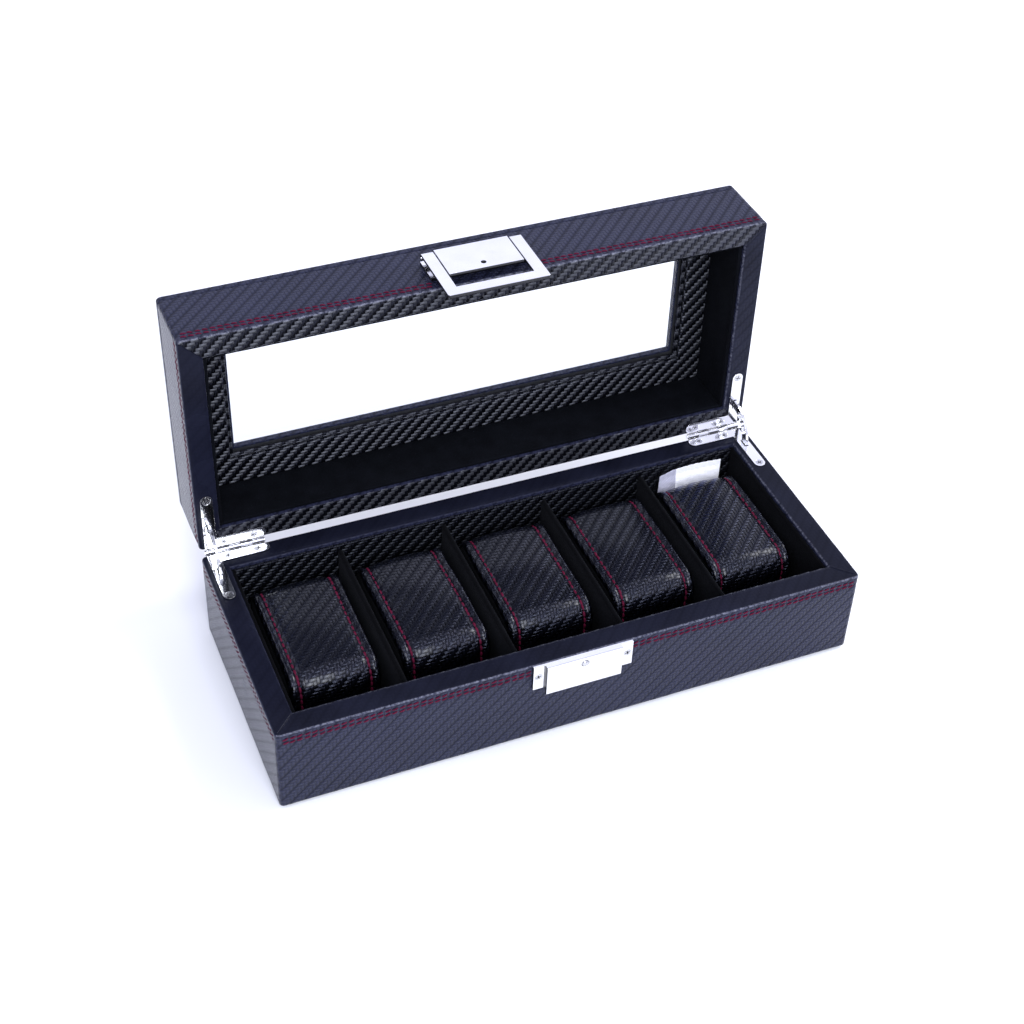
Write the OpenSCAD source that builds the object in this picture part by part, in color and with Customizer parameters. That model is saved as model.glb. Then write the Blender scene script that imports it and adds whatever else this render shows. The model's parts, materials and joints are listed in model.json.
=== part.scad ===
// Watch box: a leather-covered board base with five cushioned compartments, a glazed lid on
// two corner hinges with sliding stays, and a bail latch over a strike plate.
// +X runs along the box, +Y towards the hinges, +Z up. The origin is the centre of the
// underside. The box is drawn with its lid open, resting on its stays.

/* [Box] */
// Outer width of the box, end to end
box_w = 268; // [220:1:330]
// Outer depth of the box, front to back
box_d = 112; // [95:1:140]
// Height of the base, from the underside to its rim
base_h = 44; // [38:1:60]
// Height of the lid, from its rim to its top face
lid_h = 34; // [28:1:45]
// Thickness of the wall boards
board_t = 8.8; // [8:0.1:12]
// Thickness of the leather covering
leather_t = 0.8; // [0.6:0.1:1.1]
// How far the leather turns down inside the rim
turn_in = 9; // [6:0.5:14]
// Radius of the upright outer corners
corner_r = 2; // [1.2:0.1:2.4]
// How far the lid opens before its stays stop it, in degrees
open_angle = 90.7; // [80:0.1:110]

/* [Base interior] */
// Thickness of the felt under the base
felt_t = 1.5; // [1:0.1:3]
// Width of the leather turned under round the felt
under_w = 5; // [3:0.5:12]
// Thickness of the floor board
floor_t = 4; // [3:0.1:6]
// Thickness of the velvet pad on the floor
pad_t = 1.5; // [1:0.1:3]
// Thickness of the lining cards on the walls
liner_t = 1.6; // [1.2:0.1:2.4]
// How far the lining stops below the rim
liner_drop = 1.2; // [0.6:0.1:3]
// Thickness of a divider
divider_t = 2.4; // [1.6:0.1:4]
// How far the dividers stop below the rim
divider_drop = 4; // [2:0.5:10]
// Depth of the grooves that hold the dividers
groove_d = 0.6; // [0.3:0.1:0.9]

/* [Pillows] */
// Width of a pillow, along the box
pillow_w = 40; // [28:0.5:44]
// Length of a pillow, front to back
pillow_l = 65; // [50:0.5:70]
// Height of a pillow
pillow_h = 30; // [24:0.5:31]
// Radius of a pillow's rounded ends
pillow_r = 13.5; // [8:0.5:14.5]
// Gap behind a pillow
pillow_back_gap = 5.5; // [4.5:0.5:8]
// Gap under a pillow, where its cover touches the pad
seat_gap = 0.3; // [0.2:0.1:0.5]
// Width of the drying-agent sachet
sachet_w = 33; // [20:1:40]
// Thickness of the sachet
sachet_t = 3; // [2:0.1:3.6]
// Height of the sachet, standing on its edge
sachet_h = 34; // [20:1:36]

/* [Lid panel and window] */
// Thickness of the top panel with its leather
panel_t = 3.5; // [2.6:0.1:6]
// Length of the window in the top panel
window_w = 215; // [120:1:225]
// Width of the window in the top panel
window_d = 56; // [30:1:60]
// Thickness of the inner frame under the panel
frame_t = 4.5; // [3.5:0.1:7]
// How far the inner frame's hole stands back from the panel's window
frame_back = 3; // [1.5:0.1:5]
// Thickness of the glass
glass_t = 2; // [1.5:0.1:3]
// How far the glass reaches under the inner frame's ledge
glass_hold = 2; // [1:0.1:4]
// Section of the bead round the glass
bead_t = 1.2; // [0.8:0.1:1.4]

/* [Hinges] */
// Thickness of a hinge leaf
leaf_t = 0.9; // [0.7:0.05:1.2]
// Gap between the leaves when the lid is shut
leaf_gap = 0.4; // [0.3:0.05:0.8]
// How far the hinge axis lies behind the box
axis_out = 1.2; // [1:0.1:2]
// Length of a leaf along the back rim, from the corner
leaf_len = 30.2; // [28:0.1:36]
// Length of a leaf along the side rim, from the back
leg_len = 30; // [27:0.1:36]
// Width of a leaf's legs
leg_w = 5.4; // [5:0.1:6.4]
// Outer radius of the hinge knuckles
knuckle_r = 1.4; // [1.3:0.05:1.5]
// Radius of the hinge pins
pin_r = 0.7; // [0.5:0.05:0.8]
// Running clearance of the hinge and latch pins, on the radius
pin_clear = 0.06; // [0.03:0.01:0.1]
// Inner radius of the curved stays
stay_r_in = 11.5; // [10:0.1:13]
// Width of the stays' curved strip
stay_w = 4; // [3:0.1:4.5]
// Thickness of the stays
stay_t = 1.2; // [0.8:0.1:1.6]
// Clearance round the stays in their slots
stay_clear = 0.35; // [0.3:0.05:0.6]

/* [Latch] */
// Width of the strike plate and of the latch plate
plate_w = 45.7; // [40:0.1:56]
// Thickness of the pressed plates
plate_t = 1.2; // [0.8:0.1:1.6]
// Height of the strike plate's flange
flange_h = 13; // [11:0.5:16]
// Width of the pressed-up middle of the strike plate
strike_w = 35; // [30:0.1:38]
// How far the pressed-up middle reaches below the rim
strike_h = 16; // [14:0.5:20]
// How far the pressed-up middle stands out from the leather
strike_out = 3; // [2.6:0.1:3.6]
// Thickness of the sheet in the pressed-up parts
sheet_t = 1; // [0.8:0.1:1.2]
// Radius of the sprung catch button
button_r = 1.6; // [1.2:0.1:2]
// Distance from the rim to the button's middle
button_drop = 3.4; // [3.2:0.1:5]
// How far the button stands out of its plate, and can be pushed in
button_travel = 0.8; // [0.4:0.1:1]
// Clearance between the strike plate and the bail that swings over it
bail_clear = 1.2; // [1:0.1:2]
// Thickness of the bail
bail_t = 1.4; // [1:0.1:2]
// Width of the bail's side arms
arm_w = 5.4; // [4.5:0.1:6]
// Width of the bail's bottom bar
bar_w = 5.5; // [4:0.1:7]
// Height of the latch plate's top edge above the lid's rim
latch_top = 20; // [18:0.5:24]
// How far the bail hangs past the lid's rim
bail_drop = 14.5; // [13:0.5:18]
// Radius of the latch pin
latch_pin_r = 0.7; // [0.5:0.05:0.9]
// Gap between the bail's arms and the plate between them
arm_gap = 0.6; // [0.4:0.1:1]

/* [Screws] */
// Radius of a screw head
head_r = 1.7; // [1.5:0.05:1.9]
// Radius of a screw shank
shank_r = 0.75; // [0.6:0.05:0.9]
// Length of the hinge screws
screw_len = 7; // [5:0.5:9]

/* [Hidden] */

$fn = 48;
overlap = 1;                                   // how far a cutter runs past what it cuts
compartments = 5;

// Walls, from outside to inside, as distances from the middle of the box
wall_x = box_w / 2 - leather_t;                // outer face of the side boards
wall_y = box_d / 2 - leather_t;
board_x = wall_x - board_t;                    // inner face of the side boards
board_y = wall_y - board_t;
inner_x = board_x - leather_t;                 // leather turned down inside the rim
inner_y = board_y - leather_t;
hollow_x = inner_x - liner_t;                  // face of the lining
hollow_y = inner_y - liner_t;

// Levels of the base
under_z = felt_t / 2;                          // leather turned under, clear of the ground
floor_z = felt_t + floor_t;
pad_z = floor_z + pad_t;

// Compartments
bay_w = (2 * hollow_x - (compartments - 1) * divider_t) / compartments;
bay_pitch = bay_w + divider_t;
pillow_back_y = hollow_y - pillow_back_gap;
sachet_y = (hollow_y + pillow_back_y) / 2;     // between the last pillow and the back lining

// Hinge axis, and the lid when it is shut
axis_up = leaf_t + leaf_gap / 2;
axis_y = box_d / 2 + axis_out;
axis_z = base_h + axis_up;
lid_z = base_h + 2 * axis_up;
lid_wall_h = lid_h - panel_t;
lid_wall_z0 = base_h - lid_wall_h;             // the lid's walls, drawn rim up on the base
panel_z = lid_z + lid_wall_h;
frame_z = panel_z - frame_t;

// Hinge leaves
knuckles = 5;
knuckle_gap = 0.15;                            // between neighbouring knuckles
pin_head_t = 0.5;
leg_x = (box_w / 2 + inner_x) / 2;             // side legs lie along the middle of the rim
leg_end_y = box_d / 2 - leg_len;
leaf_x0 = box_w / 2 - leaf_len;
leaf_x1 = leg_x + leg_w / 2;
leaf_back_y = axis_y - knuckle_r - 0.3;        // set back to clear the other leaf's knuckles
leaf_front_y = leaf_back_y - leg_w;
leaf_mid_y = (leaf_front_y + leaf_back_y) / 2;
row_x0 = leaf_x0 + 1.5;
knuckle_l = (leaf_x1 - row_x0) / knuckles;
leaf_screws = [[leg_x, leg_end_y + leg_w / 2], [leaf_x0 + 5, leaf_mid_y],
    [board_x - 2 * shank_r - 0.6, leaf_mid_y]];

// Curved stays, as angles about the hinge axis
stay_r_out = stay_r_in + stay_w;
stay_r_mid = stay_r_in + stay_w / 2;
stop_r = 0.8;                                  // pin across each end, which a leaf stops
stop_l = 2 * stay_t;
stop_angle = asin((axis_up + stop_r + 0.25) / stay_r_mid);
stay_end = stop_angle + 4.4;                   // degrees past the rim's plane, each end
stay_half = open_angle / 2 + stay_end;

// Latch, as distances out from the leather
bail_back = strike_out + bail_clear;
bail_front = bail_back + bail_t;
bail_knuckle_r = 1.5;
latch_pin_out = bail_front - bail_knuckle_r;
latch_pin_z = lid_z + latch_top - bail_knuckle_r;
latch_flange_h = 14;
arm_x = plate_w / 2 - arm_w;                   // inner face of the arms
latch_face_h = latch_top - 0.5;                // pressed-up middle of the latch plate
button_z = base_h - button_drop;
collar_r = button_r + 0.6;
collar_t = 0.5;
collar_out = strike_out - sheet_t - 0.05;      // front of the collar, just behind the sheet
spring_r = 1.2;
spring_wire = 0.4;
spring_turns = 4;
spring_deep = 6;                               // depth of the spring's hole, below the leather
plate_screw_x = plate_w / 2 - 2.4;
plate_screw_len = 6;
strike_screw_z = base_h - 6;
latch_screw_z = lid_z + 13;

board_brown = "peru";
leather_navy = [0.16, 0.17, 0.24];
velvet_black = [0.05, 0.05, 0.06];
bright_nickel = [0.85, 0.86, 0.88];

// ---- shared shapes ----

// A block between its lowest and its highest corner
module slab(low, high) {
    translate(low) cube(high - low);
}

// A block centred on the upright axis, between two levels
module block(half_x, half_y, z0, z1) {
    slab([-half_x, -half_y, z0], [half_x, half_y, z1]);
}

// A flat plate centred on the origin, with round corners
module rounded_plate(w, d, r, h) {
    linear_extrude(h) {
        square([w - 2 * r, d], center = true);
        square([w, d - 2 * r], center = true);
        for (x = [-1, 1], y = [-1, 1])
            translate([x * (w / 2 - r), y * (d / 2 - r)]) circle(r);
    }
}

// Right-hand parts as drawn, left-hand parts mirrored
module on_side(side) {
    mirror([side < 0 ? 1 : 0, 0, 0]) children();
}

// Turns what is drawn for the shut lid to where the open lid stands
module opened() {
    translate([0, axis_y, axis_z]) rotate([-open_angle, 0, 0])
        translate([0, -axis_y, -axis_z]) children();
}

// Lays what is drawn for the base's rim onto the rim of the shut lid
module onto_lid_rim() {
    translate([0, 0, 2 * axis_z]) mirror([0, 0, 1]) children();
}

// Countersunk cross-head screw, its head at the origin and its point down
module screw(length) {
    slot_w = 0.45;
    slot_l = head_r * 1.3;
    difference() {
        union() {
            translate([0, 0, -leaf_t]) cylinder(h = leaf_t, r1 = shank_r, r2 = head_r);
            translate([0, 0, 1 - length]) cylinder(h = length - 1, r = shank_r);
            translate([0, 0, -length]) cylinder(h = 1, r1 = 0.1, r2 = shank_r);
        }
        for (turn = [0, 90]) rotate([0, 0, turn + 20])
            translate([-slot_l / 2, -slot_w / 2, -0.4]) cube([slot_l, slot_w, overlap]);
    }
}

// Room for a screw: countersink, and a pilot hole a little wider than the shank
module screw_room(length) {
    ease = 0.08;
    translate([0, 0, -leaf_t]) cylinder(h = leaf_t, r1 = shank_r + ease, r2 = head_r + ease);
    cylinder(h = overlap, r = head_r + ease);
    translate([0, 0, -length - ease]) cylinder(h = length, r = shank_r + ease);
}

// Screws or their holes, standing out of the box's front face at the given height
module on_front(z, out) {
    for (x = [-plate_screw_x, plate_screw_x])
        translate([x, -box_d / 2 - out, z]) rotate([90, 0, 0]) children();
}

// Screws or their holes in one leaf that lies on the base's rim
module on_leaf() {
    for (place = leaf_screws) translate([place[0], place[1], base_h + leaf_t]) children();
}

// Mortise that a stay slides in, under the slot of its leaf
module stay_mortise() {
    half_w = stop_l / 2 + stay_clear;
    y0 = axis_y - stay_r_out - stay_clear;
    y1 = axis_y - stay_r_in * cos(stay_half) + stay_clear;
    deep = stay_r_out * sin(min(stay_half, 90)) + stay_clear;
    slab([leg_x - half_w, y0, axis_z - deep], [leg_x + half_w, y1, base_h + overlap / 2]);
}

// ---- walls and coverings, drawn with the rim of the base ----

// A side board with the mortise and the screw holes of its hinge leaf
module side_board(z0) {
    difference() {
        slab([board_x, -wall_y, z0], [wall_x, wall_y, base_h - leather_t]);
        stay_mortise();
        on_leaf() screw_room(screw_len);
    }
}

// A front or back board, between the side boards
module end_board(side, z0) {
    difference() {
        slab([-board_x, side > 0 ? board_y : -wall_y, z0],
            [board_x, side > 0 ? wall_y : -board_y, base_h - leather_t]);
        if (side > 0)
            for (end = [-1, 1]) on_side(end) on_leaf() screw_room(screw_len);
    }
}

// Leather over the outside of four walls, over their rim and down inside it
module wall_leather(z0) {
    difference() {
        translate([0, 0, z0]) rounded_plate(box_w, box_d, corner_r, base_h - z0);
        difference() {
            block(wall_x, wall_y, z0 - overlap, base_h - leather_t);
            block(board_x, board_y, base_h - turn_in, base_h);
        }
        block(inner_x, inner_y, z0 - overlap, base_h + overlap);
        for (side = [-1, 1]) on_side(side) {
            stay_mortise();
            on_leaf() screw_room(screw_len);
        }
    }
}

// Lining card on a side wall, between two levels
module side_lining(z0, z1) {
    slab([hollow_x, -inner_y, z0], [inner_x, inner_y, z1]);
}

// Lining card on the back wall, between the side linings
module back_lining(z0, z1) {
    slab([-hollow_x, hollow_y, z0], [hollow_x, inner_y, z1]);
}

// ---- base ----

module base_front_board() {
    color(board_brown) difference() {
        end_board(-1, felt_t);
        on_front(strike_screw_z, plate_t) screw_room(plate_screw_len);
        button_bore();
    }
}

module base_rear_board() {
    color(board_brown) end_board(1, felt_t);
}

module base_side_board(side) {
    color(board_brown) on_side(side) side_board(felt_t);
}

module base_floor_board() {
    color(board_brown) block(board_x, board_y, felt_t, floor_z);
}

module base_leather_cover() {
    color(leather_navy) difference() {
        union() {
            wall_leather(under_z);
            difference() {
                block(wall_x + leather_t / 2, wall_y + leather_t / 2, under_z, felt_t);
                block(wall_x - under_w, wall_y - under_w, 0, felt_t + overlap);
            }
        }
        on_front(strike_screw_z, plate_t) screw_room(plate_screw_len);
        button_bore();
    }
}

module base_bottom_felt() {
    color(velvet_black) block(wall_x - under_w, wall_y - under_w, 0, felt_t);
}

module floor_pad() {
    color(velvet_black) block(hollow_x, hollow_y, floor_z, pad_z);
}

// Places one child per divider, at the divider's middle
module at_dividers() {
    for (k = [1 : compartments - 1]) translate([(k - compartments / 2) * bay_pitch, 0, 0]) children();
}

module liner_rear() {
    color(velvet_black) difference() {
        back_lining(floor_z, base_h - liner_drop);
        at_dividers() block(divider_t / 2, hollow_y + groove_d, pad_z, base_h);
    }
}

module liner_front() {
    mirror([0, 1, 0]) liner_rear();
}

module base_side_liner(side) {
    color(velvet_black) on_side(side) side_lining(floor_z, base_h - liner_drop);
}

module divider(k) {
    color(velvet_black) translate([(k - compartments / 2) * bay_pitch, 0, 0])
        block(divider_t / 2, hollow_y + groove_d, pad_z, base_h - divider_drop);
}

// A cushion with rounded ends, resting on the pad towards the back of its compartment
module pillow(k) {
    middle_x = (k - (compartments + 1) / 2) * bay_pitch;
    color(leather_navy)
        translate([middle_x - pillow_w / 2, pillow_back_y - pillow_l / 2,
            pad_z + seat_gap + pillow_h / 2])
            rotate([90, 0, 90]) rounded_plate(pillow_l, pillow_h, pillow_r, pillow_w);
}

module desiccant_sachet() {
    middle_x = (compartments - 1) / 2 * bay_pitch;
    color("white") translate([middle_x, sachet_y, 0])
        block(sachet_w / 2, sachet_t / 2, pad_z + seat_gap, pad_z + seat_gap + sachet_h);
}

// ---- strike plate and its sprung button ----

// Hole that the button's collar and spring work in
module button_bore() {
    translate([0, -box_d / 2 + spring_deep, button_z]) rotate([90, 0, 0])
        cylinder(h = spring_deep + plate_t + overlap, r = collar_r + 0.3);
}

module strike_plate() {
    face_y = -box_d / 2;
    color(bright_nickel) difference() {
        union() {
            slab([-plate_w / 2, face_y - plate_t, base_h - flange_h], [plate_w / 2, face_y, base_h]);
            slab([-strike_w / 2, face_y - strike_out, base_h - strike_h], [strike_w / 2, face_y, base_h]);
        }
        // the pressing is hollow behind, and open below
        slab([-strike_w / 2 + sheet_t, face_y - strike_out + sheet_t, base_h - strike_h - overlap],
            [strike_w / 2 - sheet_t, face_y - plate_t, base_h - sheet_t]);
        slab([-strike_w / 2 - overlap, face_y - strike_out + sheet_t, base_h - strike_h - overlap],
            [strike_w / 2 + overlap, face_y + overlap, base_h - flange_h]);
        button_bore();
        translate([0, face_y, button_z]) rotate([90, 0, 0])
            cylinder(h = strike_out + overlap, r = button_r + pin_clear);
        on_front(strike_screw_z, plate_t) screw_room(plate_screw_len);
    }
}

module strike_screws() {
    color(bright_nickel) on_front(strike_screw_z, plate_t) screw(plate_screw_len);
}

module catch_button() {
    dome_r = (button_r * button_r + button_travel * button_travel) / (2 * button_travel);
    color(bright_nickel) translate([0, -box_d / 2, button_z]) rotate([90, 0, 0]) {
        translate([0, 0, collar_out - collar_t]) cylinder(h = collar_t, r = collar_r);
        translate([0, 0, collar_out - collar_t / 2])
            cylinder(h = strike_out - collar_out + collar_t / 2, r = button_r);
        intersection() {
            translate([0, 0, strike_out + button_travel - dome_r]) sphere(dome_r);
            translate([0, 0, strike_out - 0.1]) cylinder(h = button_travel + overlap, r = button_r);
        }
    }
}

// Rings of a wire helix, each a ring of points round the wire's middle
module catch_spring() {
    sides = 6;
    steps = 12;
    rings = spring_turns * steps;
    rise = collar_out - collar_t + spring_deep - spring_wire - 0.2;
    ring_points = [for (i = [0 : rings], j = [0 : sides - 1])
        let (turn = 360 * i / steps, lean = 360 * j / sides,
            reach = spring_r + spring_wire / 2 * cos(lean))
        [reach * cos(turn), reach * sin(turn),
            spring_wire / 2 + 0.1 + rise * i / rings + spring_wire / 2 * sin(lean)]];
    walls = [for (i = [0 : rings - 1], j = [0 : sides - 1])
        [i * sides + j, i * sides + (j + 1) % sides, (i + 1) * sides + (j + 1) % sides,
            (i + 1) * sides + j]];
    start = [for (j = [sides - 1 : -1 : 0]) j];
    finish = [for (j = [0 : sides - 1]) rings * sides + j];
    color(bright_nickel) translate([0, -box_d / 2 + spring_deep, button_z]) rotate([90, 0, 0])
        polyhedron(ring_points, concat([start], walls, [finish]));
}

// ---- hinges ----

// Places one child per knuckle of a leaf: the lower leaf has the odd ones
module at_knuckles(first) {
    for (i = [first : 2 : knuckles - 1]) translate([row_x0 + i * knuckle_l, 0, 0]) children();
}

// An L-shaped leaf of the right-hand hinge, lying on the base's rim
module leaf(first, bore_r) {
    long = knuckle_l - knuckle_gap;
    end_r = leg_w / 2;
    difference() {
        union() {
            slab([leg_x - end_r, leg_end_y + end_r, base_h], [leaf_x1, leaf_back_y, base_h + leaf_t]);
            translate([leg_x, leg_end_y + end_r, base_h]) cylinder(h = leaf_t, r = end_r);
            slab([leaf_x0 + end_r, leaf_front_y, base_h], [leaf_x1, leaf_back_y, base_h + leaf_t]);
            translate([leaf_x0 + end_r, leaf_mid_y, base_h]) cylinder(h = leaf_t, r = end_r);
            at_knuckles(first) {
                slab([0, leaf_mid_y, base_h], [long, axis_y, base_h + leaf_t]);
                translate([0, axis_y, axis_z]) rotate([0, 90, 0]) cylinder(h = long, r = knuckle_r);
            }
        }
        translate([0, axis_y, axis_z]) rotate([0, 90, 0]) cylinder(h = box_w, r = bore_r);
        on_leaf() screw_room(screw_len);
        slab([leg_x - stay_t / 2 - stay_clear, axis_y - stay_r_out - stay_clear, base_h - overlap],
            [leg_x + stay_t / 2 + stay_clear, axis_y - stay_r_in + 2 * stay_clear, base_h + overlap * 2]);
    }
}

module lower_leaf(side) {
    color(bright_nickel) on_side(side) leaf(0, pin_r + 0.02);
}

module upper_leaf(side) {
    color(bright_nickel) opened() onto_lid_rim() on_side(side) leaf(1, pin_r + pin_clear);
}

module hinge_lower_screws() {
    color(bright_nickel) for (side = [-1, 1]) on_side(side) on_leaf() screw(screw_len);
}

module hinge_upper_screws() {
    color(bright_nickel) opened() onto_lid_rim()
        for (side = [-1, 1]) on_side(side) on_leaf() screw(screw_len);
}

module hinge_pins() {
    row_l = knuckles * knuckle_l - knuckle_gap;
    color(bright_nickel) for (side = [-1, 1]) on_side(side)
        translate([row_x0, axis_y, axis_z]) rotate([0, 90, 0]) {
            translate([0, 0, -0.1]) cylinder(h = row_l + 0.2, r = pin_r);
            for (head_z = [-0.1 - pin_head_t, row_l + 0.1])
                translate([0, 0, head_z]) cylinder(h = pin_head_t, r = knuckle_r - 0.2);
        }
}

// A curved strip about the hinge axis, halfway between base and lid, with a pin at each end
module stay(side) {
    pin_turn = open_angle / 2 + stop_angle;
    color(bright_nickel) on_side(side)
        translate([leg_x, axis_y, axis_z]) rotate([90, 0, -90]) rotate([0, 0, open_angle / 2]) {
            rotate([0, 0, -stay_half]) translate([0, 0, -stay_t / 2])
                rotate_extrude(angle = 2 * stay_half) translate([stay_r_in, 0]) square([stay_w, stay_t]);
            for (turn = [-pin_turn, pin_turn]) rotate([0, 0, turn])
                translate([stay_r_mid, 0, -stop_l / 2]) cylinder(h = stop_l, r = stop_r);
        }
}

// ---- lid ----

module lid_front_board() {
    color(board_brown) opened() difference() {
        onto_lid_rim() end_board(-1, lid_wall_z0);
        on_front(latch_screw_z, plate_t) screw_room(plate_screw_len);
    }
}

module lid_rear_board() {
    color(board_brown) opened() onto_lid_rim() end_board(1, lid_wall_z0);
}

module lid_side_board(side) {
    color(board_brown) opened() onto_lid_rim() on_side(side) side_board(lid_wall_z0);
}

module lid_leather_cover() {
    color(leather_navy) opened() difference() {
        onto_lid_rim() wall_leather(lid_wall_z0);
        on_front(latch_screw_z, plate_t) screw_room(plate_screw_len);
    }
}

module lid_top_panel() {
    color(board_brown) opened() difference() {
        block(wall_x, wall_y, panel_z, panel_z + panel_t - leather_t);
        block(window_w / 2 + leather_t, window_d / 2 + leather_t, frame_z, panel_z + panel_t);
    }
}

// Leather over the panel's top, its outer edges and the edges of its window
module lid_panel_leather() {
    color(leather_navy) opened() difference() {
        translate([0, 0, panel_z]) rounded_plate(box_w, box_d, corner_r, panel_t);
        difference() {
            block(wall_x, wall_y, panel_z - overlap, panel_z + panel_t - leather_t);
            block(window_w / 2 + leather_t, window_d / 2 + leather_t, frame_z, panel_z + panel_t);
        }
        block(window_w / 2, window_d / 2, frame_z, panel_z + panel_t + overlap);
    }
}

// Inner frame: its ledge carries the glass against the underside of the panel
module lid_window_frame() {
    hole_x = window_w / 2 + frame_back;
    hole_y = window_d / 2 + frame_back;
    color(leather_navy) opened() difference() {
        block(board_x, board_y, frame_z, panel_z);
        block(hole_x, hole_y, frame_z - overlap, panel_z + overlap);
        block(hole_x + glass_hold, hole_y + glass_hold, panel_z - glass_t, panel_z + overlap);
    }
}

module lid_glass() {
    glass_x = window_w / 2 + frame_back + glass_hold;
    glass_y = window_d / 2 + frame_back + glass_hold;
    color([0.8, 0.9, 0.95, 0.35]) opened() block(glass_x, glass_y, panel_z - glass_t, panel_z);
}

module lid_window_bead() {
    hole_x = window_w / 2 + frame_back;
    hole_y = window_d / 2 + frame_back;
    color(leather_navy) opened() difference() {
        block(hole_x, hole_y, panel_z - glass_t - bead_t, panel_z - glass_t);
        block(hole_x - bead_t, hole_y - bead_t, frame_z, panel_z);
    }
}

module lid_side_liner(side) {
    color(velvet_black) opened() on_side(side) side_lining(lid_z + liner_drop, frame_z);
}

module lid_liner_rear() {
    color(velvet_black) opened() back_lining(lid_z + liner_drop, frame_z);
}

module lid_liner_front() {
    color(velvet_black) opened() mirror([0, 1, 0]) back_lining(lid_z + liner_drop, frame_z);
}

// ---- latch ----

// Pin, or its hole, across the lid's front
module latch_axle(half_l, r) {
    translate([-half_l, -box_d / 2 - latch_pin_out, latch_pin_z]) rotate([0, 90, 0])
        cylinder(h = 2 * half_l, r = r);
}

module latch_plate() {
    face_y = -box_d / 2;
    half_w = arm_x - arm_gap;
    face_z = lid_z + latch_top - latch_face_h;
    color(bright_nickel) opened() difference() {
        union() {
            slab([-plate_w / 2, face_y - plate_t, lid_z + latch_top - latch_flange_h],
                [plate_w / 2, face_y, lid_z + latch_top]);
            slab([-half_w, face_y - bail_front, face_z], [half_w, face_y, lid_z + latch_top]);
        }
        // the pressing is hollow behind, and open at its lower edge
        slab([-half_w + sheet_t, face_y - bail_front + sheet_t, face_z - overlap],
            [half_w - sheet_t, face_y - plate_t, lid_z + latch_top - sheet_t]);
        slab([-half_w - overlap, face_y - bail_front + sheet_t, face_z - overlap],
            [half_w + overlap, face_y + overlap, lid_z + latch_top - latch_flange_h]);
        translate([0, face_y - bail_back, lid_z + 4.5]) rotate([90, 0, 0])
            cylinder(h = bail_t + overlap, r = 1.2);
        latch_axle(plate_w, latch_pin_r + 0.02);
        on_front(latch_screw_z, plate_t) screw_room(plate_screw_len);
    }
}

module latch_screws() {
    color(bright_nickel) opened() on_front(latch_screw_z, plate_t) screw(plate_screw_len);
}

module latch_pin() {
    color(bright_nickel) opened() latch_axle(plate_w / 2 - 0.3, latch_pin_r);
}

// U-shaped frame whose arms turn on the pin, one each side of the latch plate's middle
module latch_bail() {
    back_y = -box_d / 2 - bail_back;
    bar_z = lid_z - bail_drop;
    color(bright_nickel) opened() difference() {
        union() {
            for (side = [-1, 1]) on_side(side) {
                slab([arm_x, back_y - bail_t, bar_z + bar_w / 2], [plate_w / 2, back_y, latch_pin_z]);
                translate([arm_x, -box_d / 2 - latch_pin_out, latch_pin_z]) rotate([0, 90, 0])
                    cylinder(h = arm_w, r = bail_knuckle_r);
            }
            slab([-plate_w / 2, back_y - bail_t, bar_z], [plate_w / 2, back_y, bar_z + bar_w]);
        }
        latch_axle(plate_w, latch_pin_r + pin_clear);
    }
}

base_front_board();
base_rear_board();
base_side_board(-1);  // base_left_board
base_side_board(1);  // base_right_board
base_floor_board();
base_leather_cover();
base_bottom_felt();
floor_pad();
liner_front();
liner_rear();
base_side_liner(-1);  // liner_left
base_side_liner(1);  // liner_right
divider(1);  // divider_1
divider(2);  // divider_2
divider(3);  // divider_3
divider(4);  // divider_4
pillow(1);  // pillow_1
pillow(2);  // pillow_2
pillow(3);  // pillow_3
pillow(4);  // pillow_4
pillow(5);  // pillow_5
desiccant_sachet();
strike_plate();
strike_screws();
catch_button();
catch_spring();
lower_leaf(-1);  // hinge_left_lower_leaf
lower_leaf(1);  // hinge_right_lower_leaf
hinge_lower_screws();
hinge_pins();
stay(-1);  // stay_left
stay(1);  // stay_right
lid_front_board();
lid_rear_board();
lid_side_board(-1);  // lid_left_board
lid_side_board(1);  // lid_right_board
lid_leather_cover();
lid_top_panel();
lid_panel_leather();
lid_window_frame();
lid_glass();
lid_window_bead();
lid_liner_front();
lid_liner_rear();
lid_side_liner(-1);  // lid_liner_left
lid_side_liner(1);  // lid_liner_right
upper_leaf(-1);  // hinge_left_upper_leaf
upper_leaf(1);  // hinge_right_upper_leaf
hinge_upper_screws();
latch_plate();
latch_screws();
latch_pin();
latch_bail();
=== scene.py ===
import json
import math

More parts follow.
